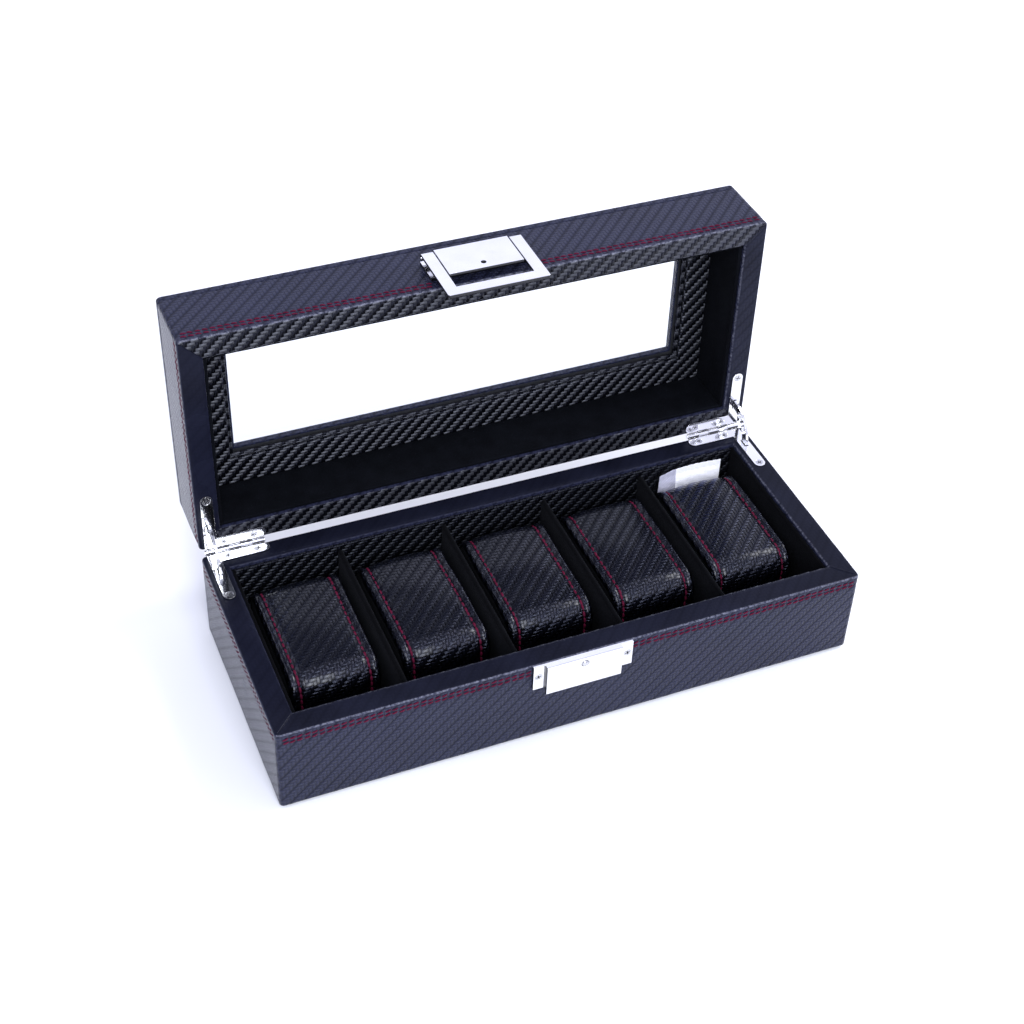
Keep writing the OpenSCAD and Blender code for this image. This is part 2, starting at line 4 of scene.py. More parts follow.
import bmesh
import bpy
import numpy as np
from mathutils import Matrix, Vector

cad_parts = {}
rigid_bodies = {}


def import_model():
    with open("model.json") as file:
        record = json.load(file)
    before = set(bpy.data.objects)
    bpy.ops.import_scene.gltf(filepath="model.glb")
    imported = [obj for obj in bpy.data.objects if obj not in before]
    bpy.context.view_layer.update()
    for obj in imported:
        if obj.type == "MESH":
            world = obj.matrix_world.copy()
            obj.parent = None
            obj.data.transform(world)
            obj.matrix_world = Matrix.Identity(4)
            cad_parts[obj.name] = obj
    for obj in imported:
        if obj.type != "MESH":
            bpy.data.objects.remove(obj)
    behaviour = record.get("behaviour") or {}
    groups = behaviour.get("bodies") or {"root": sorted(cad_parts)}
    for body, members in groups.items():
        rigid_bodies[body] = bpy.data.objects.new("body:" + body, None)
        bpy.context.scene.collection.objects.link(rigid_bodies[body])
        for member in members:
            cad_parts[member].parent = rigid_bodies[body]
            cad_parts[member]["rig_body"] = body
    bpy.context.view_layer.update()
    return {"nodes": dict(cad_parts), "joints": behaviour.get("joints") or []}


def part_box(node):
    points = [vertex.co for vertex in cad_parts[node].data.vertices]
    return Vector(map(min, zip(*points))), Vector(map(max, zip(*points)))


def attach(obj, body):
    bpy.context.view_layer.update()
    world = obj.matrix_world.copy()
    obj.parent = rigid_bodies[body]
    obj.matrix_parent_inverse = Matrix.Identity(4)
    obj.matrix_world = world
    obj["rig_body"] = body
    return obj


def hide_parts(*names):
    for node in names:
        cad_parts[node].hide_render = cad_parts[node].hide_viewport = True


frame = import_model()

mm = 0.001

# ---- Carcass ----
# Two open boxes of fibreboard, glued at the corners: four walls and a floor for the base,
# four walls and a windowed panel for the lid. Leather hides nearly all of it.

CARCASS = ["base_front_board", "base_rear_board", "base_left_board", "base_right_board",
           "base_floor_board", "lid_front_board", "lid_rear_board", "lid_left_board",
           "lid_right_board"]


def operator(operation, swapped=False):
    """A method that adds one Math node for a value and what it is combined with."""
    def method(self, *others):
        inputs = (*others, self) if swapped else (self, *others)
        node = self.finish.node("ShaderNodeMath", {"operation": operation}, dict(enumerate(inputs)))
        return Value(self.finish, node.outputs[0])
    return method


class Value:
    """A number that varies over a surface. Arithmetic on it adds Math nodes to its finish."""

    def __init__(self, finish, socket):
        self.finish = finish
        self.socket = socket

    __add__ = __radd__ = operator("ADD")
    __sub__ = operator("SUBTRACT")
    __rsub__ = operator("SUBTRACT", swapped=True)
    __mul__ = __rmul__ = operator("MULTIPLY")
    __truediv__ = operator("DIVIDE")
    __pow__ = operator("POWER")
    __lt__ = operator("LESS_THAN")
    floor = operator("FLOOR")
    fraction = operator("FRACT")
    wrapped = operator("FLOORED_MODULO")
    sine = operator("SINE")
    at_most = operator("MINIMUM")
    at_least = operator("MAXIMUM")


class Finish:
    """A material in the making: node() adds any node, with its settings first and then its sockets."""

    def __init__(self, name):
        self.material = bpy.data.materials.new(name)
        self.material.use_nodes = True
        self.tree = self.material.node_tree
        self.tree.nodes.clear()

    def node(self, kind, settings=None, sockets=None):
        node = self.tree.nodes.new(kind)
        for setting, value in (settings or {}).items():
            if setting == "stops":
                while len(node.color_ramp.elements) < len(value):
                    node.color_ramp.elements.new(0.5)
                for stop, (place, shade) in zip(node.color_ramp.elements, value):
                    stop.position = place
                    stop.color = (*shade, 1)
            else:
                setattr(node, setting, value)
        for socket, value in (sockets or {}).items():
            if isinstance(value, Value):
                value = value.socket
            if isinstance(value, bpy.types.NodeSocket):
                self.tree.links.new(value, node.inputs[socket])
            else:
                node.inputs[socket].default_value = value
        return node

    def place(self):
        """The point on the piece, in metres."""
        return self.node("ShaderNodeTexCoord").outputs["Object"]

    def noise(self, scale, detail=2.0, rough=0.5, stretch=None):
        """A cloudy value from 0 to 1, with scale features to the metre, pressed together along the
        axes as many times as stretch says."""
        place = self.place()
        if stretch:
            pressed = self.node("ShaderNodeMapping", None, {"Vector": place, "Scale": stretch})
            place = pressed.outputs["Vector"]
        node = self.node("ShaderNodeTexNoise", None,
                         {"Vector": place, "Scale": scale, "Detail": detail, "Roughness": rough})
        return Value(self, node.outputs["Fac"])

    def mark(self, name):
        """The number that a piece's points carry under a name."""
        return Value(self, self.node("ShaderNodeAttribute", {"attribute_name": name}).outputs["Fac"])

    def axes(self, place):
        """A place's x, y and z."""
        spot = self.node("ShaderNodeSeparateXYZ", None, {0: place})
        return [Value(self, part) for part in spot.outputs]

    def shades(self, value, stops):
        """Colours laid along a value from 0 to 1."""
        return self.node("ShaderNodeValToRGB", {"stops": stops}, {"Fac": value}).outputs["Color"]

    def mixed(self, share, colour, other):
        """A colour mixed with a share of another."""
        node = self.node("ShaderNodeMix", {"data_type": "RGBA"}, {0: share, 6: colour, 7: (*other, 1)})
        return node.outputs[2]

    def relief(self, height, depth):
        """The surface normal over a relief of that depth, in metres."""
        node = self.node("ShaderNodeBump", None, {"Height": height, "Distance": depth, "Strength": 1.0})
        return node.outputs["Normal"]

    def surface(self, **sockets):
        """Closes the finish with its shader. A socket's name has _ for its spaces."""
        named = {name.replace("_", " "): value for name, value in sockets.items()}
        for name, value in named.items():
            if name.endswith(("Color", "Tint")) and isinstance(value, tuple):
                named[name] = (*value, 1)
        shader = self.node("ShaderNodeBsdfPrincipled", None, named)
        self.node("ShaderNodeOutputMaterial", None, {"Surface": shader.outputs[0]})
        return self.material


def fibreboard():
    """Pressed brown board: soft mottling over short pale fibres."""
    finish = Finish("raw_fibreboard")
    fibres = finish.noise(900, 4, 0.7, stretch=(1, 4, 1))
    mottle = finish.noise(60, 3)
    tone = fibres * 0.6 + mottle * 0.4
    brown = finish.shades(tone, [(0.3, (0.16, 0.09, 0.045)), (0.7, (0.36, 0.24, 0.14))])
    return finish.surface(Base_Color=brown, Roughness=0.85, Normal=finish.relief(tone, 0.0002))


def black_faced_board():
    """Board with black paper glued to it: a dull sheet with faint fibres."""
    finish = Finish("black_faced_board")
    fibres = finish.noise(1200, 3, 0.6, stretch=(1, 3, 1))
    black = finish.shades(fibres, [(0.3, (0.006, 0.006, 0.008)), (0.7, (0.014, 0.014, 0.018))])
    return finish.surface(Base_Color=black, Roughness=0.7, Normal=finish.relief(fibres, 0.0001))


def given(node, finish):
    """Puts one finish on a node of the frame."""
    frame["nodes"][node].data.materials.clear()
    frame["nodes"][node].data.materials.append(finish)


board_finish = fibreboard()
for node in CARCASS:
    given(node, board_finish)
given("lid_top_panel", black_faced_board())

# ---- Base covering ----
# Carbon-weave embossed leather, glued over the walls, folded over the rim with mitred corners,
# turned down inside it and turned under at the bottom. The rim's strip is pressed nearly smooth.

LEATHER_T = 0.8 * mm
WALL_T = 10.4 * mm  # a board with leather on both faces
CORNER_R = 2.0 * mm
LEAST_CORNER = 0.12 * mm
RIM_ROUND = 0.75 * mm
INNER_ROUND = 0.8 * mm
FOOT_ROUND = 1.2 * mm
TURNED_DOWN = 9.0 * mm
TURNED_UNDER = 5.8 * mm
RIM_PAD = 0.45 * mm
RIM_BAND = 0.6 * mm
PAD_BAND = 1.2 * mm
# Half width of the pale highlight painted along the rim's outer edge.
GLINT_HALF_W = 0.25 * mm
LEATHER_RIPPLE = (0.09 * mm, 17 * mm)
SEAM_DEPTH = 0.16 * mm
SEAM_LIP = 0.09 * mm
SEAM_HALF_W = 0.2 * mm
STITCH_ROWS = (2.7 * mm, 4.8 * mm)
STITCH_DIP = 0.16 * mm
STITCH_DIP_HALF_W = 0.7 * mm
STAY_SLOT = (41.3 * mm, 50.1 * mm)
STAY_PLAY = 0.3 * mm
TOW = 1.6 * mm
RIBS = 4
TOW_ACROSS, TOW_ALONG, FURROW_ACROSS = 0.6, 0.4, 0.8
NAVY = (0.017, 0.0192, 0.04)
# Colour of the pale highlight painted along the rim edges where they catch the light.
GLINT_COLOUR = (0.2, 0.205, 0.26)
OUTWARD = np.array([(0, -1), (1, 0), (0, 1), (-1, 0)])
BY_CORNER = np.array([0.15, 0.35, 0.6, 1.0, 1.6, 2.6]) * mm


def arc(a0, a1, steps):
    """Angles in radians from a0 to a1 degrees, both ends included."""
    return np.radians(np.linspace(a0, a1, steps + 1))


def quarter(radius, steps, onto=False):
    """A rounded edge as pairs (distance in from the wall, distance from the flat face), which leads
    from the face down to the wall, or from the wall onto the face."""
    pairs = [(radius * (1 - math.sin(a)), radius * (1 - math.cos(a))) for a in arc(0, 90, steps)]
    return [pair[::-1] for pair in pairs] if onto else pairs


def ring_rows(half_x, half_y, profile, corner, least=None):
    """Rows for rings() at each (distance inside, height) of a profile. The corner radius stays the
    same or, where a least one is given, shrinks with the distance."""
    return [(half_x - d, half_y - d, corner if least is None else max(corner - d, least), z)
            for d, z in profile]


def rings(rows, spans=(72, 30), corner_steps=4):
    """Rectangular rings through rows of (half length, half depth, corner radius, height).

    Each wall's points run from one mitre to the next: a quarter arc split between two walls, a few
    points at fixed distances from it, then even steps. Returns the points as rows x columns x 3,
    how far each lies from the nearest mitre along its wall, and each column's wall.
    """
    half_x, half_y, radius, height = (np.array(part)[:, None] for part in zip(*rows))
    turn = arc(-45, 0, corner_steps)[None, :]
    points, mitres, walls = [], [], []
    for wall, (out_x, out_y) in enumerate(OUTWARD):
        reach, out = (half_x, half_y) if wall % 2 == 0 else (half_y, half_x)
        flat = reach - radius
        squeeze = np.minimum(1, np.maximum(flat, 0) / (2 * BY_CORNER[-1]))
        bend = flat - radius * np.sin(turn)
        near = flat - BY_CORNER[None, :] * squeeze
        middle = np.linspace(-1, 1, spans[wall % 2] + 1)[None, 1:-1] * (flat - BY_CORNER[-1] * squeeze)
        along = np.hstack([-bend, -near, middle, near[:, ::-1], bend[:, :0:-1]])
        level = out - radius + radius * np.cos(turn)
        straight = np.repeat(out, near.shape[1] * 2 + middle.shape[1], axis=1)
        away = np.hstack([level, straight, level[:, :0:-1]])
        points.append(np.stack([-out_y * along + out_x * away, out_x * along + out_y * away,
                                np.broadcast_to(height, along.shape)], axis=2))
        mitres.append(reach - np.abs(along))
        walls += [wall] * along.shape[1]
    return np.concatenate(points, axis=1), np.concatenate(mitres, axis=1), np.array(walls)


def web(rows, columns, closed_rows=False, closed_columns=True):
    """Four-cornered faces over a grid of points, numbered row by row."""
    down = np.arange(rows if closed_rows else rows - 1)[:, None]
    over = np.arange(columns if closed_columns else columns - 1)[None, :]
    next_down, next_over = (down + 1) % rows, (over + 1) % columns
    corners = [down * columns + over, down * columns + next_over,
               next_down * columns + next_over, next_down * columns + over]
    return np.stack([np.broadcast_to(c, (down.size, over.size)).ravel() for c in corners], axis=1)


def upright(points, faces):
    """Pattern coordinates in metres, each face seen square on from outside: right, then up."""
    corners = points[faces]
    normal = np.cross(corners[:, 2] - corners[:, 0], corners[:, 3] - corners[:, 1])
    axis = np.abs(normal).argmax(axis=1)
    sign = np.sign(normal[np.arange(len(axis)), axis])
    sign[sign == 0] = 1
    rights = np.array([(0, 1, 0), (-1, 0, 0), (1, 0, 0)])[axis] * np.where(axis == 2, 1, sign)[:, None]
    ups = np.array([(0, 0, 1), (0, 0, 1), (0, 1, 0)])[axis] * np.where(axis == 2, sign, 1)[:, None]
    return np.stack([np.einsum("fcx,fx->fc", corners, rights),
                     np.einsum("fcx,fx->fc", corners, ups)], axis=2)


def outward_normals(grid, closed_rows=True):
    """Unit normals of a grid closed round its columns: the cross product of its two directions."""
    over = np.roll(grid, -1, axis=1) - np.roll(grid, 1, axis=1)
    down = np.roll(grid, -1, axis=0) - np.roll(grid, 1, axis=0)
    if not closed_rows:
        down[0], down[-1] = grid[1] - grid[0], grid[-1] - grid[-2]
    normal = np.cross(over, down)
    return normal / np.maximum(np.linalg.norm(normal, axis=2, keepdims=True), 1e-12)


def ripple(points, height, length, seed):
    """Soft unevenness: six sine waves of about the given length, in directions drawn by lot."""
    lot = np.random.default_rng(seed)
    ways = lot.normal(size=(6, 3))
    ways /= np.linalg.norm(ways, axis=1, keepdims=True)
    waves = 2 * np.pi / (length * lot.uniform(0.7, 1.5, 6))
    swells = np.sin(points @ (ways * waves[:, None]).T + lot.uniform(0, 2 * np.pi, 6))
    return height * swells.mean(axis=-1)


def bell(distance, width):
    """1 at no distance, falling off as a bell curve of that width."""
    return np.exp(-(distance / width) ** 2)


def placed_object(name, data):
    """An object in the scene that shows a mesh, a lamp or a camera."""
    piece = bpy.data.objects.new(name, data)
    bpy.context.scene.collection.objects.link(piece)
    return piece


def made(name, points, faces, finishes, body, slot, pattern=None, kinds=None, weld=False,
         sharp=40, replaces=()):
    """A piece from points and faces: pattern coordinates, smooth shading and its place in the frame."""
    mesh = bpy.data.meshes.new(name)
    mesh.from_pydata(points.reshape(-1, 3).tolist(), [], [list(face) for face in faces])
    if pattern is not None:
        layer = mesh.uv_layers.new(name="weave")
        layer.data.foreach_set("uv", pattern.astype(np.float32).ravel())
    if kinds is not None:
        mesh.polygons.foreach_set("material_index", kinds.astype(np.int32))
    if weld:
        shell = bmesh.new()
        shell.from_mesh(mesh)
        bmesh.ops.remove_doubles(shell, verts=shell.verts, dist=1e-6)
        bmesh.ops.dissolve_degenerate(shell, edges=shell.edges, dist=1e-7)
        shell.to_mesh(mesh)
        shell.free()
    mesh.shade_smooth()
    mesh.set_sharp_from_angle(angle=math.radians(sharp))
    for finish in finishes if isinstance(finishes, list) else [finishes]:
        mesh.materials.append(finish)
    piece = placed_object(name, mesh)
    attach(piece, body)
    if replaces:
        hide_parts(*replaces)
    return piece


def ringed(name, grid, finishes, body, slot, node, embossed=1.0, closed_rows=True, turn=None, **more):
    """A piece over a grid of rings, in place of a node. It is patterned where it stands with the lid
    shut, and then turned."""
    faces = web(*grid.shape[:2], closed_rows)
    flat = grid.reshape(-1, 3)
    piece = made(name, turn(flat) if turn else flat, faces, finishes, body, slot, upright(flat, faces),
                 replaces=[node], **more)
    marked(piece, "embossed", embossed)
    return piece


def opened_up(piece, blocks):
    """Cuts blocks, each a lowest and a highest corner, out of a closed piece."""
    for low, high in blocks:
        mesh = bpy.data.meshes.new("cutter")
        cutter = placed_object("cutter", mesh)
        shell = bmesh.new()
        bmesh.ops.create_cube(shell, size=1.0)
        for vertex in shell.verts:
            vertex.co = [(a + b) / 2 + c * (b - a) for a, b, c in zip(low, high, vertex.co)]
        shell.to_mesh(mesh)
        shell.free()
        cut = piece.modifiers.new("cut", "BOOLEAN")
        cut.operation = "DIFFERENCE"
        cut.solver = "EXACT"
        cut.object = cutter
        cut_mesh = bpy.data.meshes.new_from_object(
            piece.evaluated_get(bpy.context.evaluated_depsgraph_get()))
        piece.modifiers.clear()
        piece.data = cut_mesh
        bpy.data.objects.remove(cutter)
    piece.data.shade_smooth()
    piece.data.set_sharp_from_angle(angle=math.radians(40))


def weave_height(finish, tow, cells):
    """Two-by-two twill, from 0 between the tows to 1 on their backs.

    A tow is half a sine wave across. It lies on top for two cells and under for two, each tow
    one cell further on than its neighbour, so the floats climb to the right. A furrow runs along
    each row of float ends, and every tow on top carries fine ribs along its length. The powers make
    the waves' backs flatter. cells says how far the single tows stand out from the rows.
    """
    across, up, _ = finish.axes(finish.node("ShaderNodeUVMap", {"uv_map": "weave"}).outputs[0])
    across, up = across / tow, up / tow

    def floats(side, lengthwise, start):
        ridge = (side.fraction() * math.pi).sine().at_least(0) ** TOW_ACROSS
        run = (lengthwise - side.floor() + start).wrapped(4).at_most(2) * (math.pi / 2)
        return ridge * run.sine().at_least(0) ** TOW_ALONG

    upright_tow, crossing_tow = floats(across, up, 1), floats(up, across, -2)
    crossing = upright_tow < crossing_tow
    ribs = (across * (RIBS * 2 * math.pi)).sine() * (1 - crossing)
    ribs = ribs + (up * (RIBS * 2 * math.pi)).sine() * crossing
    furrow = (((up - across + 1.5) / 4).fraction() * math.pi).sine().at_least(0) ** FURROW_ACROSS
    backs = upright_tow.at_least(crossing_tow) * cells + (1 - cells)
    return backs * (furrow * 0.75 + 0.25), ribs, crossing


def twill_leather(name, colour, depth, rough, coat, cells=1.0, lustre=(0.0, 0.0, 0.0), broad=0.0,
                  ribbed=0.05, ior=1.22, tint=(0.62, 0.66, 1.0)):
    """Embossed leather: twill relief with a fine grain, duller in the furrows, where its colour is painted
    darker as shade.

    The crossing tows have a pearly lustre of their own, with a broader gleam than the upright ones.
    """
    finish = Finish(name)
    pressed, glint_share = finish.mark("embossed"), finish.mark("rubbed")
    weave, ribs, crossing = weave_height(finish, TOW, cells)
    # Painted highlight: a pale line along the marked rim edges, broken up by noise.
    glint_share = glint_share * (finish.noise(700, 3, 0.7) - 0.38).at_least(0) * 3
    weave = weave * pressed
    pearly = crossing * pressed.at_most(1)
    grain = finish.noise(5200, 2, 0.6)
    patches = finish.noise(45, 2)
    # Painted shade: the colour runs from dark in the furrows and between the tows to light on the tows'
    # backs, and is darker too where the weave is pressed shallow.
    dark, light = [tuple(c * k for c in colour) for k in (0.2, 1.3)]
    shade = finish.shades(patches * 0.3 + weave * 0.7, [(0.1, dark), (0.9, light)])
    if broad:
        shade = finish.mixed(pearly, shade, lustre)
    shade = finish.mixed(glint_share.at_most(0.8), shade, GLINT_COLOUR)
    relief = finish.relief(weave + grain * 0.05 + ribs * pressed * ribbed, depth)
    return finish.surface(Base_Color=shade, Metallic=pearly if broad else 0.0,
                          Roughness=patches * 0.08 + rough + pearly * broad, Normal=relief, IOR=ior,
                          Specular_Tint=tint, Coat_Weight=weave * coat, Coat_Roughness=0.18, Coat_IOR=1.4)


def marked(piece, name, share):
    """Gives each point of a piece a number: "embossed", how deep the weave is pressed, or
    "rubbed", how strongly a pale highlight is painted along an edge."""
    mark = piece.data.attributes.new(name, "FLOAT", "POINT")
    mark.data.foreach_set("value", np.broadcast_to(share, len(piece.data.vertices)).astype(np.float32))


def cover_rows(foot, rim, first, last):
    """Rows of a wall covering, from its lower and upper ends, as a closed loop in one wall's section.

    Up the outside, round the rim's edge, across it, round its inner edge and down, then back between
    leather and board. A row is (distance inside the outer face, height); a lid's rim lies below.
    """
    way = 1 if rim > foot else -1
    face = np.linspace(foot + way * last, rim - way * RIM_ROUND, 30)[1:-1]
    rows = first + [(0.0, z) for z in face]
    rows += [(d, rim - way * u) for d, u in quarter(RIM_ROUND, 5, onto=True)]
    rows += [(d, rim) for d in np.linspace(RIM_ROUND, WALL_T - INNER_ROUND, 9)[1:-1]]
    rows += [(WALL_T - d, rim - way * u) for d, u in quarter(INNER_ROUND, 4)]
    rows += [(WALL_T, rim - way * d) for d in np.linspace(INNER_ROUND, TURNED_DOWN, 6)[1:]]
    rows += [(WALL_T - LEATHER_T, rim - way * TURNED_DOWN), (WALL_T - LEATHER_T, rim - way * LEATHER_T),
             (LEATHER_T, rim - way * LEATHER_T)]
    return rows


def wall_cover(name, section, rim, finish, body, node, seed, rim_weave, turn=None):
    """A covering from its section: rings at each row's distance inside, with mitre seams on the rim.

    rim_weave says how deep the weave is on the front, right, rear and left rims. A second finish
    covers the front and rear rims.
    """
    grid, mitre, walls = rings(ring_rows(half_x, half_y, section, CORNER_R, LEAST_CORNER))
    if rim < grid[:, :, 2].mean():
        grid, mitre, section = grid[::-1], mitre[::-1], section[::-1]
    inside, height = (np.array(part)[:, None] for part in zip(*section))
    below = np.abs(height - rim)
    on_rim = np.clip(1 - below / RIM_BAND, 0, 1) * (inside > 0.5 * RIM_ROUND)
    outside = inside < LEATHER_T * 0.9
    seam = SEAM_LIP * bell(mitre - 2 * SEAM_HALF_W, SEAM_HALF_W) - SEAM_DEPTH * bell(mitre, SEAM_HALF_W)
    lift = on_rim * seam + np.clip(on_rim + outside, 0, 1) * ripple(grid, *LEATHER_RIPPLE, seed)
    for drop in STITCH_ROWS:
        lift = lift - outside * STITCH_DIP * bell(below - drop, STITCH_DIP_HALF_W)
    grid = grid + outward_normals(grid) * lift[:, :, None]
    padded = RIM_PAD * np.clip(1 - below / PAD_BAND, 0, 1)
    grid[:, :, 2] += padded * (1 if rim > section[len(section) // 2][1] else -1)
    smooth = 1 - (1 - np.array(rim_weave)[walls][None, :]) * np.clip(on_rim, 0, 1)
    kinds = None
    if isinstance(finish, list):
        on_top = (on_rim > 0.5).max(axis=1)[:, None]
        kinds = (on_top & (walls % 2 == 0)[None, :]).ravel()
    piece = ringed(name, grid, finish, body, "leather_navy", node, smooth.ravel(), turn=turn, kinds=kinds)
    # Painted highlight along the outer rim edge and, fainter, the inner one, on the front and right walls
    # only, where the light catches them.
    edges = bell(inside - 0.3 * RIM_ROUND, GLINT_HALF_W) * (below < RIM_ROUND)
    inner_edges = bell(inside - WALL_T + 0.3 * mm, 0.3 * mm) * (below < INNER_ROUND)
    marked(piece, "rubbed", ((edges + 0.7 * inner_edges) * np.isin(walls, (0, 1))[None, :]).ravel())
    return piece


outer_leather = twill_leather("navy_twill_leather", NAVY, 0.34 * mm, 0.22, 0.42,
                              cells=0.65, ior=1.17, tint=(0.8, 0.83, 1.0))

base_low, base_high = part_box("base_leather_cover")
half_x, half_y = base_high.x, base_high.y
rim_z = base_high.z
foot_z = base_low.z
felt_top = 1.5 * mm

base_section = [(TURNED_UNDER, felt_top), (TURNED_UNDER, foot_z), (FOOT_ROUND * 1.4, foot_z)]
base_section += [(d, foot_z + u) for d, u in quarter(FOOT_ROUND, 4)]
base_section = cover_rows(foot_z, rim_z, base_section, FOOT_ROUND)
base_section += [(LEATHER_T, felt_top)]
base_cover = wall_cover("base_cover", base_section, rim_z, outer_leather, "base",
                        "base_leather_cover", 11, (0.1, 0.1, 0.1, 0.1))


def slots_for_stays(rim, reach):
    """The two openings in a rim that the stays slide through, from their places in the frame."""
    stays = [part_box(node) for node in ("stay_left", "stay_right")]
    return [((low.x - STAY_PLAY, STAY_SLOT[0], rim - reach), (high.x + STAY_PLAY, STAY_SLOT[1], rim + reach))
            for low, high in stays]


opened_up(base_cover, slots_for_stays(rim_z, 2 * mm))

# ---- Edge stitching ----
# Two rows of crimson thread run round the walls just under the rim, through leather and board.
# Each stitch is a short twisted loop that dives into the leather at both ends.

THREAD_D = 0.7 * mm
STITCH_PITCH = 3.1 * mm
STITCH_RINGS = 7
STITCH_SIDES = 6
STITCH_SHARE = 0.97


def crimson_thread():
    """Twisted polyester thread, its colour painted darker as shade where it sinks between its plies."""
    finish = Finish("crimson_thread")
    plies = finish.noise(2600, 3, 0.7)
    runs = finish.noise(180, 2)
    red = finish.shades(plies * 0.65 + runs * 0.35,
                        [(0.25, (0.036, 0.0018, 0.011)), (0.75, (0.12, 0.005, 0.028))])
    return finish.surface(Base_Color=red, Roughness=0.6, Normal=finish.relief(plies, 0.0002), IOR=1.2)


def stitches(name, middles, along, normals, pitch, body, slot="leather_navy", flat=1.15):
    """A row of stitches: each a six-sided tube whose half-width falls off as the fourth power of the
    distance from its middle, and whose centre line sinks as the square of it. It is wider than it
    is high by the factor flat."""
    step = np.linspace(-1, 1, STITCH_RINGS)[None, :, None, None]
    turn = (np.arange(STITCH_SIDES) * 2 * np.pi / STITCH_SIDES)[None, None, :, None]
    middles, along, normals = (part[:, None, None, :] for part in (middles, along, normals))
    half = THREAD_D / 2 * np.sqrt(np.maximum(1 - np.abs(step) ** 4, 0.02))
    sunk = THREAD_D * (0.26 - 0.55 * step ** 2)
    grid = (middles + along * step * pitch * STITCH_SHARE / 2 + normals * sunk
            + half * (np.cos(turn) * normals + flat * np.sin(turn) * np.cross(along, normals)))
    each = STITCH_RINGS * STITCH_SIDES
    first = np.arange(len(middles))[:, None] * each
    sides = np.arange(STITCH_SIDES)[None, :]
    faces = (web(STITCH_RINGS, STITCH_SIDES)[None] + first[:, :, None]).reshape(-1, 4).tolist()
    faces += (first + sides[:, ::-1]).tolist() + (first + each - STITCH_SIDES + sides).tolist()
    made(name, grid, faces, thread_finish, body, slot, sharp=180)


def round_the_walls(heights, lean, bare, seed):
    """Stitch middles, directions and normals along four walls, in rows at the given heights.

    No stitch lies within the bare half width of the front's middle, where the fittings sit.
    """
    lot = np.random.default_rng(seed)
    rows = []
    for height in heights:
        for wall, (out_x, out_y) in enumerate(OUTWARD):
            reach, out = (half_x, half_y) if wall % 2 == 0 else (half_y, half_x)
            reach = reach - 2.5 * mm
            count = round(2 * reach / STITCH_PITCH)
            place = ((np.arange(count) + 0.5) / count * 2 - 1) * reach + lot.normal(0, 0.12 * mm, count)
            wander = lot.normal(0, 0.07 * mm, count) + 0.12 * mm * np.sin(place / (19 * mm))
            slant = np.radians(lean) + lot.normal(0, 0.05, count)
            out = out - (0.12, 0.33, 0.12, 0.33)[wall] * mm
            middle = np.stack([-out_y * place + out_x * out, out_x * place + out_y * out,
                               height + wander], axis=1)
            along = np.stack([-out_y * np.cos(slant), out_x * np.cos(slant), np.sin(slant)], axis=1)
            normal = np.tile((out_x, out_y, 0.0), (count, 1))
            sewn = np.abs(place) > (bare if wall == 0 else 0)
            rows.append([part[sewn] for part in (middle, along, normal)])
    return [np.concatenate(part) for part in zip(*rows)]


thread_finish = crimson_thread()
stitches("base_stitching", *round_the_walls([rim_z - d for d in STITCH_ROWS], 14, 23 * mm, 21),
         STITCH_PITCH, "base")

# ---- Underside felt and floor pad ----
# A sheet of black felt glued under the base, and a velvet-covered pad on the floor inside.
# Both are cut sheets with soft edges.

PILE_ROUND = 0.5 * mm
SHEET_CORNER = 0.3 * mm
SHEET_RIPPLE = (0.05 * mm, 14 * mm)
VELVET = (0.0016, 0.0017, 0.0022)


def halves(low, high):
    """The middle of a box and half its size along each axis."""
    low, high = np.array(low), np.array(high)
    return (low + high) / 2, (high - low) / 2


def slab_rows(half_x, half_y, half_z, edge):
    """Rows of a closed sheet: out from the middle of its underside, round its edge, and back on top."""
    flat = [min(half_x, half_y) * share for share in (1, 0.6, 0.3)] + [3 * edge]
    edges = [(d, u - half_z) for d, u in quarter(edge, 3)]
    edges += [(d, half_z - u) for d, u in quarter(edge, 3, onto=True)]
    return (ring_rows(half_x, half_y, [(d, -half_z) for d in flat], SHEET_CORNER, 0)
            + ring_rows(half_x, half_y, edges, SHEET_CORNER, 0.05 * mm)
            + ring_rows(half_x, half_y, [(d, half_z) for d in flat[::-1]], SHEET_CORNER, 0))


def sheet_piece(node, low, high, thin, finish, body, slot, seed, edge=PILE_ROUND, spans=(40, 20), turn=None):
    """A card, pad or divider between two corners, thin along one axis, with rounded edges."""
    middle, half = halves(low, high)
    half = np.roll(half, -thin - 1)
    grid, _, _ = rings(slab_rows(*half, min(edge, half[2] * 0.98)), spans, 2)
    grid = grid + outward_normals(grid, False) * ripple(grid, *SHEET_RIPPLE, seed)[:, :, None]
    ringed(node + "_soft", np.roll(grid, thin + 1, axis=2) + middle, finish, body, slot, node,
           closed_rows=False, turn=turn, weld=True, sharp=50)


def pile_fabric(name, colour, fibre=1500, sheen=0.03, rough=0.95):
    """Short-piled cloth: fine nap, brushed in cloudy patches that show a little paler."""
    finish = Finish(name)
    nap = finish.noise(fibre, 3, 0.7)
    brushed = finish.noise(130, 3, stretch=(1.0, 1.0, 0.35))
    tone = nap * 0.45 + brushed * 0.55
    dark, light = (tuple(c * k for c in colour) for k in (0.55, 1.6))
    shade = finish.shades(tone, [(0.3, dark), (0.72, light)])
    return finish.surface(Base_Color=shade, Roughness=rough, Normal=finish.relief(nap, 0.0003),
                          Sheen_Weight=sheen, Sheen_Roughness=0.45, Sheen_Tint=(0.75, 0.78, 0.9),
                          Specular_IOR_Level=0.03)


def sheet_like(node, thin, finish, slot, seed, **more):
    """A sheet on the base, as large as its node."""
    sheet_piece(node, *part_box(node), thin, finish, "base", slot, seed, **more)


